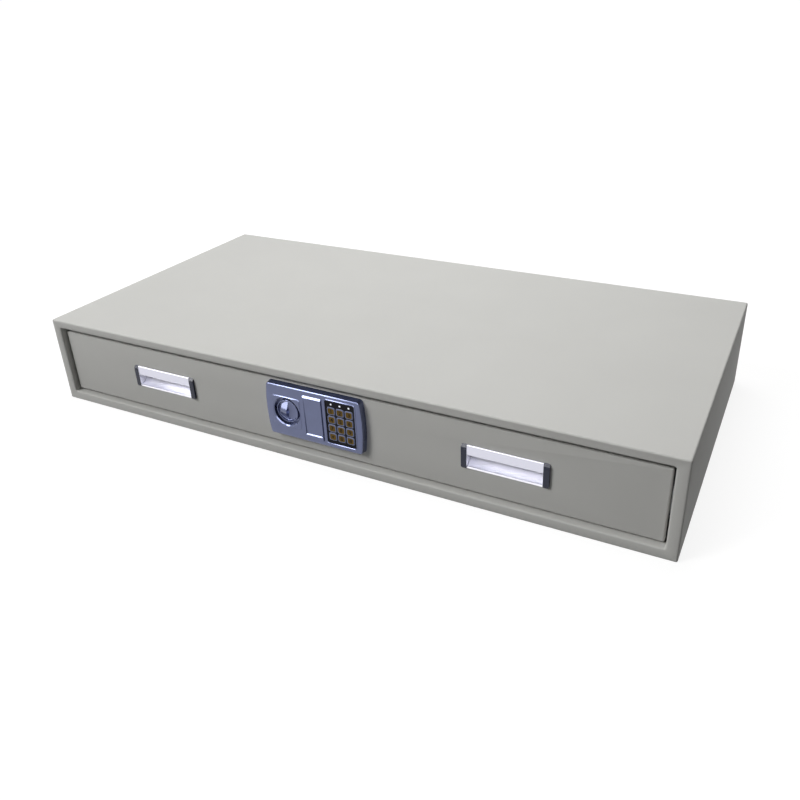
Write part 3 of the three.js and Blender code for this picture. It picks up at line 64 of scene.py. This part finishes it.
# Cabinet. Shell, front frame and back are two millimetre steel sheet, folded and welded into
# one box, then powder coated in a light warm grey with a fine orange-peel grain.

same_point = 2e-6  # metres
flat_turn = 0.002  # radians


def feed(node, inputs):
    """Sets the node's inputs by name or number, or links them where the value is a socket."""
    for key, value in inputs.items():
        if isinstance(value, bpy.types.NodeSocket):
            node.id_data.links.new(value, node.inputs[key])
        else:
            node.inputs[key].default_value = value


def node_adder(tree):
    """Function that adds a node to the tree with its settings, then feeds its inputs."""
    def add(kind, inputs=None, **settings):
        node = tree.nodes.new(kind)
        for key, value in settings.items():
            setattr(node, key, value)
        feed(node, inputs or {})
        return node

    return add


def shader(name):
    """New material with its principled surface and the function that adds nodes to its tree."""
    material = bpy.data.materials.new(name)
    material.use_nodes = True
    tree = material.node_tree
    return material, tree.nodes["Principled BSDF"], node_adder(tree)


def noise(add, place, scale, detail, roughness=0.5):
    """Noise from 0 to 1 with scale cells in each unit of place, and finer cells as detail grows."""
    inputs = {"Vector": place, "Scale": scale, "Detail": detail, "Roughness": roughness}
    return add("ShaderNodeTexNoise", inputs).outputs["Fac"]


def blend(add, factor, low, high):
    """Colour that goes from low to high, each a colour or a socket, as factor goes from 0 to 1."""
    return add("ShaderNodeMix", {0: factor, 6: low, 7: high}, data_type="RGBA").outputs[2]


def toned(add, factor, colour, least, most):
    """The colour times least where factor is 0, and times most where it is 1."""
    low, high = ([share * c for c in colour] + [1] for share in (least, most))
    return blend(add, factor, low, high)


def grained(add, surface, grain, rough, strength, depth):
    """The grain drives the surface's roughness from one value to another and its bump."""
    spread = add("ShaderNodeMapRange", {"Value": grain, "To Min": rough[0], "To Max": rough[1]})
    bump = add("ShaderNodeBump", {"Height": grain, "Strength": strength, "Distance": depth})
    feed(surface, {"Roughness": spread.outputs[0], "Normal": bump.outputs["Normal"]})


def powder_coat(name, colour):
    """Textured coat: cells of about 1.5 mm for the peel, finer specks, and slow clouds of tone."""
    material, surface, add = shader(name)
    place = add("ShaderNodeTexCoord").outputs["Object"]
    peel = noise(add, place, scale=620, detail=3, roughness=0.6)
    clouds = noise(add, place, scale=9, detail=4, roughness=0.55)
    specks = noise(add, place, scale=1500, detail=1)
    tone = add("ShaderNodeMath", {0: clouds, 1: specks, 2: 0.22}, operation="MULTIPLY_ADD")
    coloured = toned(add, tone.outputs[0], colour, least=0.93, most=1.06)
    grained(add, surface, peel, rough=(0.48, 0.66), strength=0.35, depth=0.00012)
    feed(surface, {"Base Color": coloured, "Specular IOR Level": 0.25})
    return material


def shade(mesh, angle):
    """Shades the mesh smooth, but sharp where two faces turn by more than angle in degrees."""
    mesh.polygons.foreach_set("use_smooth", np.ones(len(mesh.polygons), bool))
    mesh.set_sharp_from_angle(angle=np.radians(angle))


def in_scene(name, data):
    """New object of the data, linked to the scene."""
    thing = bpy.data.objects.new(name, data)
    bpy.context.scene.collection.objects.link(thing)
    return thing


def finished_copy(node, material, edge=0.0, angle=35):
    """Same form as the CAD node with its points merged, its flats made whole, its bends shaded
    smooth and, if edge is given, its arrises rounded by that many metres."""
    source = frame["nodes"][node]
    mesh = source.data.copy()
    body = bmesh.new()
    body.from_mesh(mesh)
    bmesh.ops.remove_doubles(body, verts=body.verts, dist=same_point)
    bmesh.ops.dissolve_limit(body, angle_limit=flat_turn, verts=body.verts, edges=body.edges)
    body.to_mesh(mesh)
    body.free()
    cad_normals = mesh.attributes.get("custom_normal")
    if cad_normals:
        mesh.attributes.remove(cad_normals)
    mesh.materials.clear()
    mesh.materials.append(material)
    shade(mesh, angle)
    piece = in_scene(node + "_finished", mesh)
    if edge:
        rounding = piece.modifiers.new("arris", "BEVEL")
        rounding.width = edge
        rounding.segments = 2
        rounding.limit_method = "ANGLE"
        rounding.angle_limit = np.radians(angle)
        rounding.harden_normals = True
    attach(piece, source["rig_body"])
    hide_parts(node)
    return piece


grey_coat = powder_coat("grey_powder_coat", (0.557, 0.556, 0.536))
for sheet in ("cabinet_shell", "cabinet_back"):
    finished_copy(sheet, grey_coat)


# Slides, brackets and keeper. Rolled and folded from zinc plated steel strip, screwed to the
# cabinet walls and the drawer sides; the plating is bright, slightly blue and finely streaked.

def plated_steel(name, colour, rough):
    """Metal with fine rolling streaks along Y and soft blotches in its plating."""
    material, surface, add = shader(name)
    place = add("ShaderNodeTexCoord").outputs["Object"]
    rolled = add("ShaderNodeMapping", {"Vector": place, "Scale": (900, 14, 900)}).outputs[0]
    streaks = noise(add, rolled, scale=1, detail=3)
    blotches = noise(add, place, scale=60, detail=3)
    coloured = toned(add, blotches, colour, least=0.86, most=1)
    grained(add, surface, streaks, rough=(rough - 0.08, rough + 0.1), strength=0.15, depth=0.00005)
    feed(surface, {"Base Color": coloured, "Metallic": 1})
    return material


zinc = plated_steel("zinc_plating", (0.66, 0.68, 0.70), rough=0.34)
finished_copy("bolt_keeper", zinc)
for member in ("bracket", "outer", "middle", "inner"):
    for hand in ("left", "right"):
        finished_copy(f"slide_{member}_{hand}", zinc)


# Drawer. A flat front with its edges turned in and a shallow tray with turned-in lips, both
# folded from sheet, spot welded together and coated like the cabinet, as is the lock's cover.

for sheet in ("drawer_front", "drawer_tray", "lock_cover"):
    finished_copy(sheet, grey_coat)


# Grip handles. Two extruded aluminium sections, a flap over a trough, brushed and anodised,
# pressed into the drawer front between two moulded end caps of dark blue plastic. The flap's rear
# is painted dark, a painted shade that the trough mirrors as a dark line under the flap; the caps'
# top ends are cut back to a slope, and their inner cheeks get a bright silver skin, a painted
# reflection of the light they catch.

section_edge = 0.0003
cap_edge = 0.0002


def brushed_aluminium(name, colour):
    """Bright metal with long hair lines along X."""
    material, surface, add = shader(name)
    place = add("ShaderNodeTexCoord").outputs["Object"]
    drawn = add("ShaderNodeMapping", {"Vector": place, "Scale": (16, 2600, 2600)}).outputs[0]
    lines = noise(add, drawn, scale=1, detail=4, roughness=0.65)
    coloured = toned(add, lines, colour, least=0.90, most=1)
    grained(add, surface, lines, rough=(0.24, 0.42), strength=0.25, depth=0.00006)
    feed(surface, {"Base Color": coloured, "Metallic": 1})
    return material


def moulded(name, colour, rough, grain=1400, depth=0.00003, extra=None):
    """Moulded plastic with a fine spark-eroded grain and slight changes of tone; extra holds
    further values for its surface, by the names of their sockets."""
    material, surface, add = shader(name)
    place = add("ShaderNodeTexCoord").outputs["Object"]
    spark = noise(add, place, scale=grain, detail=2)
    tone = noise(add, place, scale=70, detail=3)
    coloured = toned(add, tone, colour, least=0.9, most=1.1)
    grained(add, surface, spark, rough=(rough - 0.06, rough + 0.08), strength=0.3, depth=depth)
    feed(surface, {"Base Color": coloured, **(extra or {})})
    return material


def marked(material, mark, colour):
    """Gives the faces whose attribute mark is 1 another colour; returns the attribute's socket."""
    surface = material.node_tree.nodes["Principled BSDF"]
    add = node_adder(material.node_tree)
    share = add("ShaderNodeAttribute", attribute_name=mark).outputs["Fac"]
    plain = surface.inputs["Base Color"].links[0].from_socket
    feed(surface, {"Base Color": blend(add, share, plain, (*colour, 1))})
    return share


def mark_faces(mesh, mark, direction, least):
    """Sets the face attribute mark to 1 where the normal goes with direction by more than least,
    and to 0 elsewhere."""
    normals = np.empty(len(mesh.polygons) * 3)
    mesh.polygons.foreach_get("normal", normals)
    along = normals.reshape(-1, 3) @ np.array(direction, float)
    values = (along > least).astype(float)
    mesh.attributes.new(mark, "FLOAT", "FACE").data.foreach_set("value", values)


def read_points(mesh, kind="co"):
    """The mesh's points, or their normals with kind "normal", as rows of x, y and z."""
    rows = np.empty(len(mesh.vertices) * 3)
    mesh.vertices.foreach_get(kind, rows)
    return rows.reshape(-1, 3)


def move_points(mesh, points):
    """Gives the mesh's points new places."""
    mesh.vertices.foreach_set("co", points.ravel())
    mesh.update()


def cut_back(cap, top, below=0.0041, slant=0.8, nose=0.0005, wall=0.0030):
    """Slopes the top end of a cap's front. A cut is laid round the cap this far below its top.
    Above it the points within the wall's thickness move back to a plane, which starts at the
    cut, nose behind the front, and leans back by slant metres for each metre of height."""
    body = bmesh.new()
    body.from_mesh(cap)
    whole = body.verts[:] + body.edges[:] + body.faces[:]
    bmesh.ops.bisect_plane(body, geom=whole, dist=same_point / 2,
                           plane_co=(0, 0, top - below), plane_no=(0, 0, 1))
    body.to_mesh(cap)
    body.free()
    points = read_points(cap)
    above_cut = points[:, 2] - top + below
    start = points[:, 1].min() + nose
    slope = start + slant * above_cut
    moved = (above_cut > 0.0001) & (points[:, 1] < start + wall)
    points[moved, 1] = np.maximum(points[moved, 1], slope[moved])
    move_points(cap, points)
    cap.set_sharp_from_angle(angle=np.radians(30))


matt_aluminium = brushed_aluminium("matt_aluminium", (0.69, 0.69, 0.78))
# Painted shade: the flap's faces turned back and down are near black, so the trough mirrors a dark line
# under the flap.
marked(matt_aluminium, "painted_shade_rear", (0.02, 0.02, 0.05))
bright_aluminium = brushed_aluminium("bright_aluminium", (0.90, 0.90, 0.96))
cap_plastic = moulded("cap_plastic", (0.010, 0.014, 0.040), rough=0.22, extra={"Specular IOR Level": 0.4})
# Painted reflection: the caps' inner cheeks become bright silver metal, to look as pale as the light they
# catch.
painted_reflection_share = marked(cap_plastic, "painted_reflection_cheek", (0.90, 0.90, 0.96))
feed(cap_plastic.node_tree.nodes["Principled BSDF"], {"Metallic": painted_reflection_share})
for hand in ("left", "right"):
    flap = finished_copy("handle_flap_" + hand, matt_aluminium, section_edge)
    # The flap's faces that take the painted shade.
    mark_faces(flap.data, "painted_shade_rear", direction=(0, 0.7, -0.7), least=0.5)
    finished_copy("handle_trough_" + hand, bright_aluminium, section_edge)
    for end, inward in (("left", 1), ("right", -1)):
        name = f"handle_{hand}_cap_{end}"
        cap = finished_copy(name, cap_plastic, cap_edge)
        cut_back(cap.data, top=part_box(name)[1][2])
        # The caps' inner cheeks that take the painted reflection.
        mark_faces(cap.data, "painted_reflection_cheek", direction=(inward, 0, 0), least=0.99)


# Lock housing and cover. Moulded in silver-blue metallic paint, with bowed sides, a round recess,
# a pocket and a window, and screwed on from behind. The middle rows of the front edge, the knob
# plate and the bead are moved to give each a flat slope, and the cover's pull ledge is steepened.

housing_edge = 0.00015
cover_edge = 0.0002
near_row = 2e-5
front_row = 0.001527, -0.0001, 0.0001  # metres behind the front, then moved outward and back
plate_row = 0.0002, -0.0002, 0.0002
bead_row = 0.0003, 0.0002, 0.0004
ledge_foot = 0.0085  # above the cover's lower edge
ledge_drop = 0.0007

housing_paint = moulded("housing_paint", (0.118, 0.138, 0.252), rough=0.18, grain=2200, depth=0.00001,
                        extra={"Metallic": 0.6, "Coat Weight": 0.5, "Coat Roughness": 0.12})
housing = finished_copy("lock_panel", housing_paint, housing_edge, angle=30).data
points, normals = read_points(housing), read_points(housing, "normal")
behind = points[:, 1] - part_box("lock_panel")[0][1]
for row, outward, backward in (front_row, plate_row, bead_row):
    on_row = np.abs(behind - row) < near_row
    outline = normals[on_row] * (1, 0, 1)
    points[on_row] += outward * outline / np.linalg.norm(outline, axis=1)[:, None]
    points[on_row, 1] += backward
move_points(housing, points)
housing.set_sharp_from_angle(angle=np.radians(30))
cover = finished_copy("emergency_cover", housing_paint, cover_edge).data
points = read_points(cover)
on_foot = np.abs(points[:, 2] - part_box("emergency_cover")[0][2] - ledge_foot) < near_row
points[on_foot, 2] -= ledge_drop
move_points(cover, points)


# Knob. A moulded disc in the housing's paint: a round rim, and in it a well with a curved blade
# across it for finger and thumb; it is pressed onto the spindle.

def skin(name, sheets, material, body, angle=50):
    """One piece from grids of points: each sheet is an array (rows, columns, 3) whose neighbours
    are joined by quads; edges that meet are merged, and sharp where they turn by more than angle."""
    points = np.concatenate([sheet.reshape(-1, 3) for sheet in sheets])
    quads = []
    first = 0
    for sheet in sheets:
        rows, columns = sheet.shape[:2]
        corner = first + np.arange(rows * columns).reshape(rows, columns)
        around = (corner[:-1, :-1], corner[:-1, 1:], corner[1:, 1:], corner[1:, :-1])
        quads.append(np.stack(around, axis=-1).reshape(-1, 4))
        first += rows * columns
    mesh = bpy.data.meshes.new(name)
    mesh.from_pydata(points.tolist(), [], np.concatenate(quads).tolist())
    form = bmesh.new()
    form.from_mesh(mesh)
    bmesh.ops.remove_doubles(form, verts=form.verts, dist=same_point)
    bmesh.ops.recalc_face_normals(form, faces=form.faces)
    form.to_mesh(mesh)
    form.free()
    mesh.materials.append(material)
    shade(mesh, angle)
    piece = in_scene(name, mesh)
    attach(piece, body)
    return piece


def knob_face(inner, well, raised, bow=0.001, nose=0.002, lean=0.55, flank=0.012, drop=0.0022):
    """The knob's face as x and z about its middle and as depth behind the rim, inside the radius
    inner. Its rows run in chords from rim to crest to rim. A well goes down by the given depth,
    and its wall goes with a high power of the radius. In it a blade stands up, and the top of its
    bowed crest is raised before the rim: a hyperbola that leans back by lean at both ends. The
    left flank slopes gently as far as flank and then runs out into the well's floor in a smooth
    step; the right flank drops away from the sharp crest as an exponential of length drop."""
    angle = np.linspace(-np.pi / 2, np.pi / 2, 97)[:, None]
    half = (1 - np.cos(np.linspace(0, np.pi, 49))) / 2
    side = np.concatenate([-half[::-1], half[1:]])[None, :]
    z = inner * np.sin(angle) + 0 * side
    crest = bow * np.sin(np.pi * z / inner)
    x = crest * (1 - np.abs(side)) + side * inner * np.cos(angle)
    top = np.minimum(np.hypot(nose, lean * z) - nose - raised, well)
    away = np.abs(x - crest)
    gentle, step, steep = 0.2, 0.005, 24
    slope = np.minimum(top + gentle * away, well)
    beyond = np.clip((away - flank) / step, 0, 1)
    left = slope + (well - slope) * beyond ** 2 * (3 - 2 * beyond)
    right = well - (well - top) * np.exp(-away / drop)
    wall = 1 - np.clip(np.hypot(x, z) / inner, 0, 1) ** steep
    return x, np.where(x < crest, left, right) * wall, z


def knob_sheets(low, high, rim=0.0018, edge=0.0012, floor=0.0008, raised=0.0030):
    """Face and side of the knob between two corners of its box. Outside the face lies a narrow
    flat ring, then the rim turns back over a quarter round of radius edge, and the side is its
    circle carried straight to the back, which is closed to its middle."""
    centre_x, centre_z = (low[0] + high[0]) / 2, (low[2] + high[2]) / 2
    radius = (high[2] - low[2]) / 2
    inner = radius - rim
    front = low[1] + raised
    x, depth, z = knob_face(inner, high[1] - front - floor, raised)
    face = np.stack([centre_x + x, front + depth, centre_z + z], axis=-1)
    turn = np.linspace(-np.pi / 2, np.pi * 1.5, 193)[None, :]
    bend = np.linspace(0, np.pi / 2, 6)
    reach = np.concatenate([[inner, inner + edge / 2], radius - edge + edge * np.sin(bend), [radius, 0]])
    level = np.concatenate([[front, front], front + edge - edge * np.cos(bend), [high[1], high[1]]])
    ring = (centre_x + reach[:, None] * np.cos(turn), level[:, None] + 0 * turn,
            centre_z + reach[:, None] * np.sin(turn))
    return [face, np.stack(ring, axis=-1)]


knob_low, knob_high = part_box("knob")
knob = skin("knob_finished", knob_sheets(knob_low, knob_high), housing_paint,
            frame["nodes"]["knob"]["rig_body"], angle=35)
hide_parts("knob")


# Keypad. A black plate under the window, twelve blue-grey keys with an amber print and a
# numeral, three clear lamps whose lenses carry a painted glow, and behind them the contact mat on its
# circuit board.

plate_edge = 0.0002
key_flange = 0.0003
print_depth = 0.00015  # from a key's front edge back to the middle of its numeral


def printed_key(name, rim_colour, field_colour):
    """Key plastic; where the fourth powers of the face's own coordinates, -1 to 1, add up to
    little, an amber field with rounded corners is printed. Both are slightly patchy."""
    material, surface, add = shader(name)
    split = add("ShaderNodeSeparateXYZ", {"Vector": add("ShaderNodeUVMap", uv_map="face").outputs["UV"]})
    powers = [add("ShaderNodeMath", {0: split.outputs[axis], 1: 4.0}, operation="POWER") for axis in "XY"]
    reach = add("ShaderNodeMath", {0: powers[0].outputs[0], 1: powers[1].outputs[0]}, operation="ADD")
    beyond = add("ShaderNodeMapRange", {"Value": reach.outputs[0], "From Min": 0.26, "From Max": 0.34})
    wear = noise(add, add("ShaderNodeTexCoord").outputs["Object"], scale=420, detail=3)
    amber = toned(add, wear, field_colour, least=0.75, most=1.25)
    blue = toned(add, wear, rim_colour, least=0.92, most=1.08)
    spread = add("ShaderNodeMapRange", {"Value": wear, "To Min": 0.28, "To Max": 0.42})
    feed(surface, {"Base Color": blend(add, beyond.outputs[0], amber, blue),
                   "Roughness": spread.outputs[0], "Specular IOR Level": 0.15})
    return material


def key_sheet(low, high, collar=0.0023, back=0.0031, soft=0.0012, dish=0.0002, stem=0.0025):
    """A key between two corners of its box, as loops round its axis: a round stem, a flange from
    back to collar behind the front, then a rounded square (superellipse of power 5) that runs
    forward, turns over a soft edge and closes in a slight dish."""
    centre_x, centre_z = (low[0] + high[0]) / 2, (low[2] + high[2]) / 2
    half_x, half_z = (high[0] - low[0]) / 2, (high[2] - low[2]) / 2
    turn = np.linspace(0, 2 * np.pi, 97)[None, :]
    over = np.linspace(0, np.pi / 2, 7)
    shrink = np.linspace(1, 0, 13)[1:, None]
    flange_front, flange_back = low[1] + collar, low[1] + back
    inset = np.concatenate([[0, 0, key_flange], key_flange + soft * (1 - np.cos(over))])[:, None]
    level = np.concatenate([[flange_back, flange_front, flange_front],
                            low[1] + soft * (1 - np.sin(over))])[:, None]
    square_x = np.sign(np.cos(turn)) * np.abs(np.cos(turn)) ** (2 / 5)
    square_z = np.sign(np.sin(turn)) * np.abs(np.sin(turn)) ** (2 / 5)
    rod = np.array([0, stem, stem])[:, None]
    x = np.concatenate([rod * np.cos(turn), (half_x - inset) * square_x,
                        (half_x - key_flange - soft) * shrink * square_x])
    z = np.concatenate([rod * np.sin(turn), (half_z - inset) * square_z,
                        (half_z - key_flange - soft) * shrink * square_z])
    y = np.concatenate([np.array([high[1], high[1], flange_back])[:, None], level,
                        low[1] + dish * (1 - shrink ** 2)]) + 0 * turn
    return np.stack([centre_x + x, y, centre_z + z], axis=-1)


def numeral(name, sign, ink, centre, front, height=0.0088, ink_depth=0.00003, swell=0.0002):
    """One printed sign as a thin solid: Blender's own letter form made a mesh, stood upright,
    facing the front and centred by its outline."""
    curve = bpy.data.curves.new(name, "FONT")
    curve.body = sign
    curve.size = height
    curve.extrude = ink_depth
    curve.offset = swell
    curve.resolution_u = 3
    lettering = in_scene(name, curve)
    mesh = bpy.data.meshes.new_from_object(lettering.evaluated_get(bpy.context.evaluated_depsgraph_get()))
    bpy.data.objects.remove(lettering)
    bpy.data.curves.remove(curve)
    flat = read_points(mesh)
    flat -= (flat.min(axis=0) + flat.max(axis=0)) / 2
    upright = np.stack([centre[0] + flat[:, 0], front - flat[:, 2], centre[1] + flat[:, 1]], axis=-1)
    move_points(mesh, upright)
    mesh.materials.clear()
    mesh.materials.append(ink)
    return in_scene(name, mesh)


dull = {"Specular IOR Level": 0.12}
# Painted glow: the clear lamps' lenses emit a faint white light of their own, to look brighter than the
# lamps light them.
painted_glow = {"Emission Color": (0.92, 0.95, 1.0, 1), "Emission Strength": 0.7}
black_plastic = moulded("black_plastic", (0.002, 0.002, 0.006), rough=0.22, extra=dull)
key_plastic = printed_key("key_plastic", rim_colour=(0.22, 0.25, 0.40), field_colour=(0.150, 0.086, 0.006))
key_ink = moulded("key_ink", (0.008, 0.005, 0.004), rough=0.5, extra=dull)
lamp_plastic = moulded("lamp_plastic", (0.92, 0.94, 1.0), rough=0.12, extra=painted_glow)
mat_rubber = moulded("mat_rubber", (0.33, 0.33, 0.35), rough=0.7)
board_green = moulded("board_green", (0.02, 0.16, 0.06), rough=0.4)
finished_copy("keypad_plate", black_plastic, plate_edge)
for sign in "123456789*0#":
    name = {"*": "key_clear", "#": "key_enter"}.get(sign, "key_" + sign)
    key_low, key_high = (np.array(corner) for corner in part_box(name))
    key_body = frame["nodes"][name]["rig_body"]
    key = skin(name + "_finished", [key_sheet(key_low, key_high)], key_plastic, key_body)
    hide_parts(name)
    middle, reach = (key_low + key_high) / 2, (key_high - key_low) / 2 - key_flange
    corners = np.empty(len(key.data.loops), np.int32)
    key.data.loops.foreach_get("vertex_index", corners)
    spots = ((read_points(key.data) - middle) / reach)[corners][:, [0, 2]]
    key.data.uv_layers.new(name="face").data.foreach_set("uv", spots.ravel())
    mark = numeral(name + "_numeral", sign, key_ink, middle[[0, 2]], key_low[1] + print_depth)
    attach(mark, key_body)
for name in ("lamp_left", "lamp_middle", "lamp_right"):
    finished_copy(name, lamp_plastic)
finished_copy("contact_mat", mat_rubber)
finished_copy("circuit_board", board_green)


# Lock work. Spindle, crank, carriage and cam are zinc plated, the bolts and the plunger are
# bright steel, the emergency lock is brass; the cells sit in a black tub behind the cover.

bright = plated_steel("bright_steel", (0.78, 0.79, 0.80), rough=0.18)
brass = plated_steel("turned_brass", (0.74, 0.56, 0.27), rough=0.28)
coil_tape = moulded("coil_tape", (0.03, 0.03, 0.03), rough=0.5)
jacket = moulded("battery_jacket", (0.09, 0.09, 0.10), rough=0.3)
reset_plastic = moulded("reset_plastic", (0.55, 0.03, 0.02), rough=0.3)
for name in ("knob_spindle", "knob_crank", "bolt_carriage", "key_cam"):
    finished_copy(name, zinc)
for name in ("bolt_left", "bolt_right", "solenoid_plunger"):
    finished_copy(name, bright)
for name in ("key_cylinder", "key_plug"):
    finished_copy(name, brass)
finished_copy("solenoid_body", coil_tape)
for name in ("battery_case", "battery_lid"):
    finished_copy(name, black_plastic)
for name in ("battery_1", "battery_2", "battery_3", "battery_4"):
    finished_copy(name, jacket)
finished_copy("reset_button", reset_plastic)


# Studio. A pale floor that keeps the safe's shadow and grows white with distance, a white room,
# a lamp above and behind, three to the front and the left, a card that only gleams on shiny
# edges, and the camera.

def panel_of_light(name, place, aim, size, power, along=(0, 0, 1)):
    """Rectangular area lamp at place, turned towards aim, its second side leaning along."""
    data = bpy.data.lights.new(name, "AREA")
    data.shape = "RECTANGLE"
    data.size, data.size_y = size
    data.energy = power
    lamp = in_scene(name, data)
    back = Vector(np.subtract(place, aim)).normalized()
    across = Vector(along).cross(back).normalized()
    facing = Matrix((across, back.cross(across), back)).transposed()
    lamp.matrix_world = Matrix.Translation(place) @ facing.to_4x4()
    return lamp


def seen_directly(add):
    """One for rays from the camera, from a mirror-like surface or through glass, else zero."""
    seen = add("ShaderNodeLightPath").outputs
    larger = {0: seen["Is Camera Ray"], 1: seen["Is Glossy Ray"]}
    either = add("ShaderNodeMath", larger, operation="MAXIMUM").outputs[0]
    largest = {0: either, 1: seen["Is Transmission Ray"]}
    return add("ShaderNodeMath", largest, operation="MAXIMUM").outputs[0]


floor_half = 40
floor_mesh = bpy.data.meshes.new("floor")
floor_corners = [(x * floor_half, y * floor_half, 0) for x, y in ((-1, -1), (1, -1), (1, 1), (-1, 1))]
floor_mesh.from_pydata(floor_corners, [], [(0, 1, 2, 3)])
floor = in_scene("floor", floor_mesh)
floor_paint, floor_surface, add = shader("floor_paint")
feed(floor_surface, {"Base Color": (0.20, 0.20, 0.20, 1), "Roughness": 0.9, "Specular IOR Level": 0})
far = add("ShaderNodeVectorMath", {0: add("ShaderNodeTexCoord").outputs["Object"]}, operation="LENGTH")
rise = add("ShaderNodeMapRange", {"Value": far.outputs["Value"], "From Min": 0.7, "From Max": 1.6,
                                  "To Min": 0.88, "To Max": 1.0})
glow = add("ShaderNodeEmission", {"Color": (1, 1, 1, 1), "Strength": rise.outputs[0]})
glowing = add("ShaderNodeAddShader", {0: floor_surface.outputs[0], 1: glow.outputs[0]})
shown = {0: seen_directly(add), 1: floor_surface.outputs[0], 2: glowing.outputs[0]}
choice = add("ShaderNodeMixShader", shown)
feed(floor_paint.node_tree.nodes["Material Output"], {"Surface": choice.outputs[0]})
floor_mesh.materials.append(floor_paint)

room = bpy.data.worlds.new("room")
bpy.context.scene.world = room
room.use_nodes = True
in_room = node_adder(room.node_tree)
dim = in_room("ShaderNodeBackground", {"Color": (1.0, 0.99, 0.92, 1), "Strength": 0.045})
white = in_room("ShaderNodeBackground", {"Color": (1, 1, 1, 1), "Strength": 1.0})
shown = {0: seen_directly(in_room), 1: dim.outputs[0], 2: white.outputs[0]}
backdrop = in_room("ShaderNodeMixShader", shown)
feed(room.node_tree.nodes["World Output"], {"Surface": backdrop.outputs[0]})

middle_floor = (0, 0.15, 0)
front_centre = (0, -0.25, 0.08)
panel_of_light("overhead", (0.0, 0.5, 2.2), middle_floor, (1.3, 1.4), 31)
panel_of_light("far_left", (-7.3, -5.36, 1.47), front_centre, (1.6, 1.6), 45)
panel_of_light("front_high", (-1.9, -3.9, 3.4), front_centre, (2.2, 1.2), 40)
panel_of_light("gleam", (-6.56, -6.83, 7.69), front_centre, (4.0, 5.2), 740, (0, 0.69, 0.72))
sheen = panel_of_light("sheen", (1.28, -3.98, 3.15), front_centre, (1.0, 5.2), 80, (0.877, -0.106, -0.549))
sheen.visible_diffuse = False

photo_side = 800
focal_pixels = 786.23
axis_pixel_x, axis_pixel_y = 419.0, 370.06
view = bpy.data.cameras.new("camera")
view.sensor_width = 36
view.lens = focal_pixels / photo_side * view.sensor_width
view.shift_x = (photo_side / 2 - axis_pixel_x) / photo_side
view.shift_y = (axis_pixel_y - photo_side / 2) / photo_side
camera = in_scene("camera", view)
eye = (0.59946, -1.06773, 0.65775)
right = Vector((0.89185, 0.45138, -0.02929))
down = Vector((0.18078, -0.41507, -0.89165))
ahead = Vector((-0.41463, 0.78992, -0.45178))
turn = Matrix((right, -down, -ahead)).transposed()
camera.matrix_world = Matrix.Translation(eye) @ turn.to_4x4()
bpy.context.scene.camera = camera
bpy.context.scene.view_settings.view_transform = "Standard"
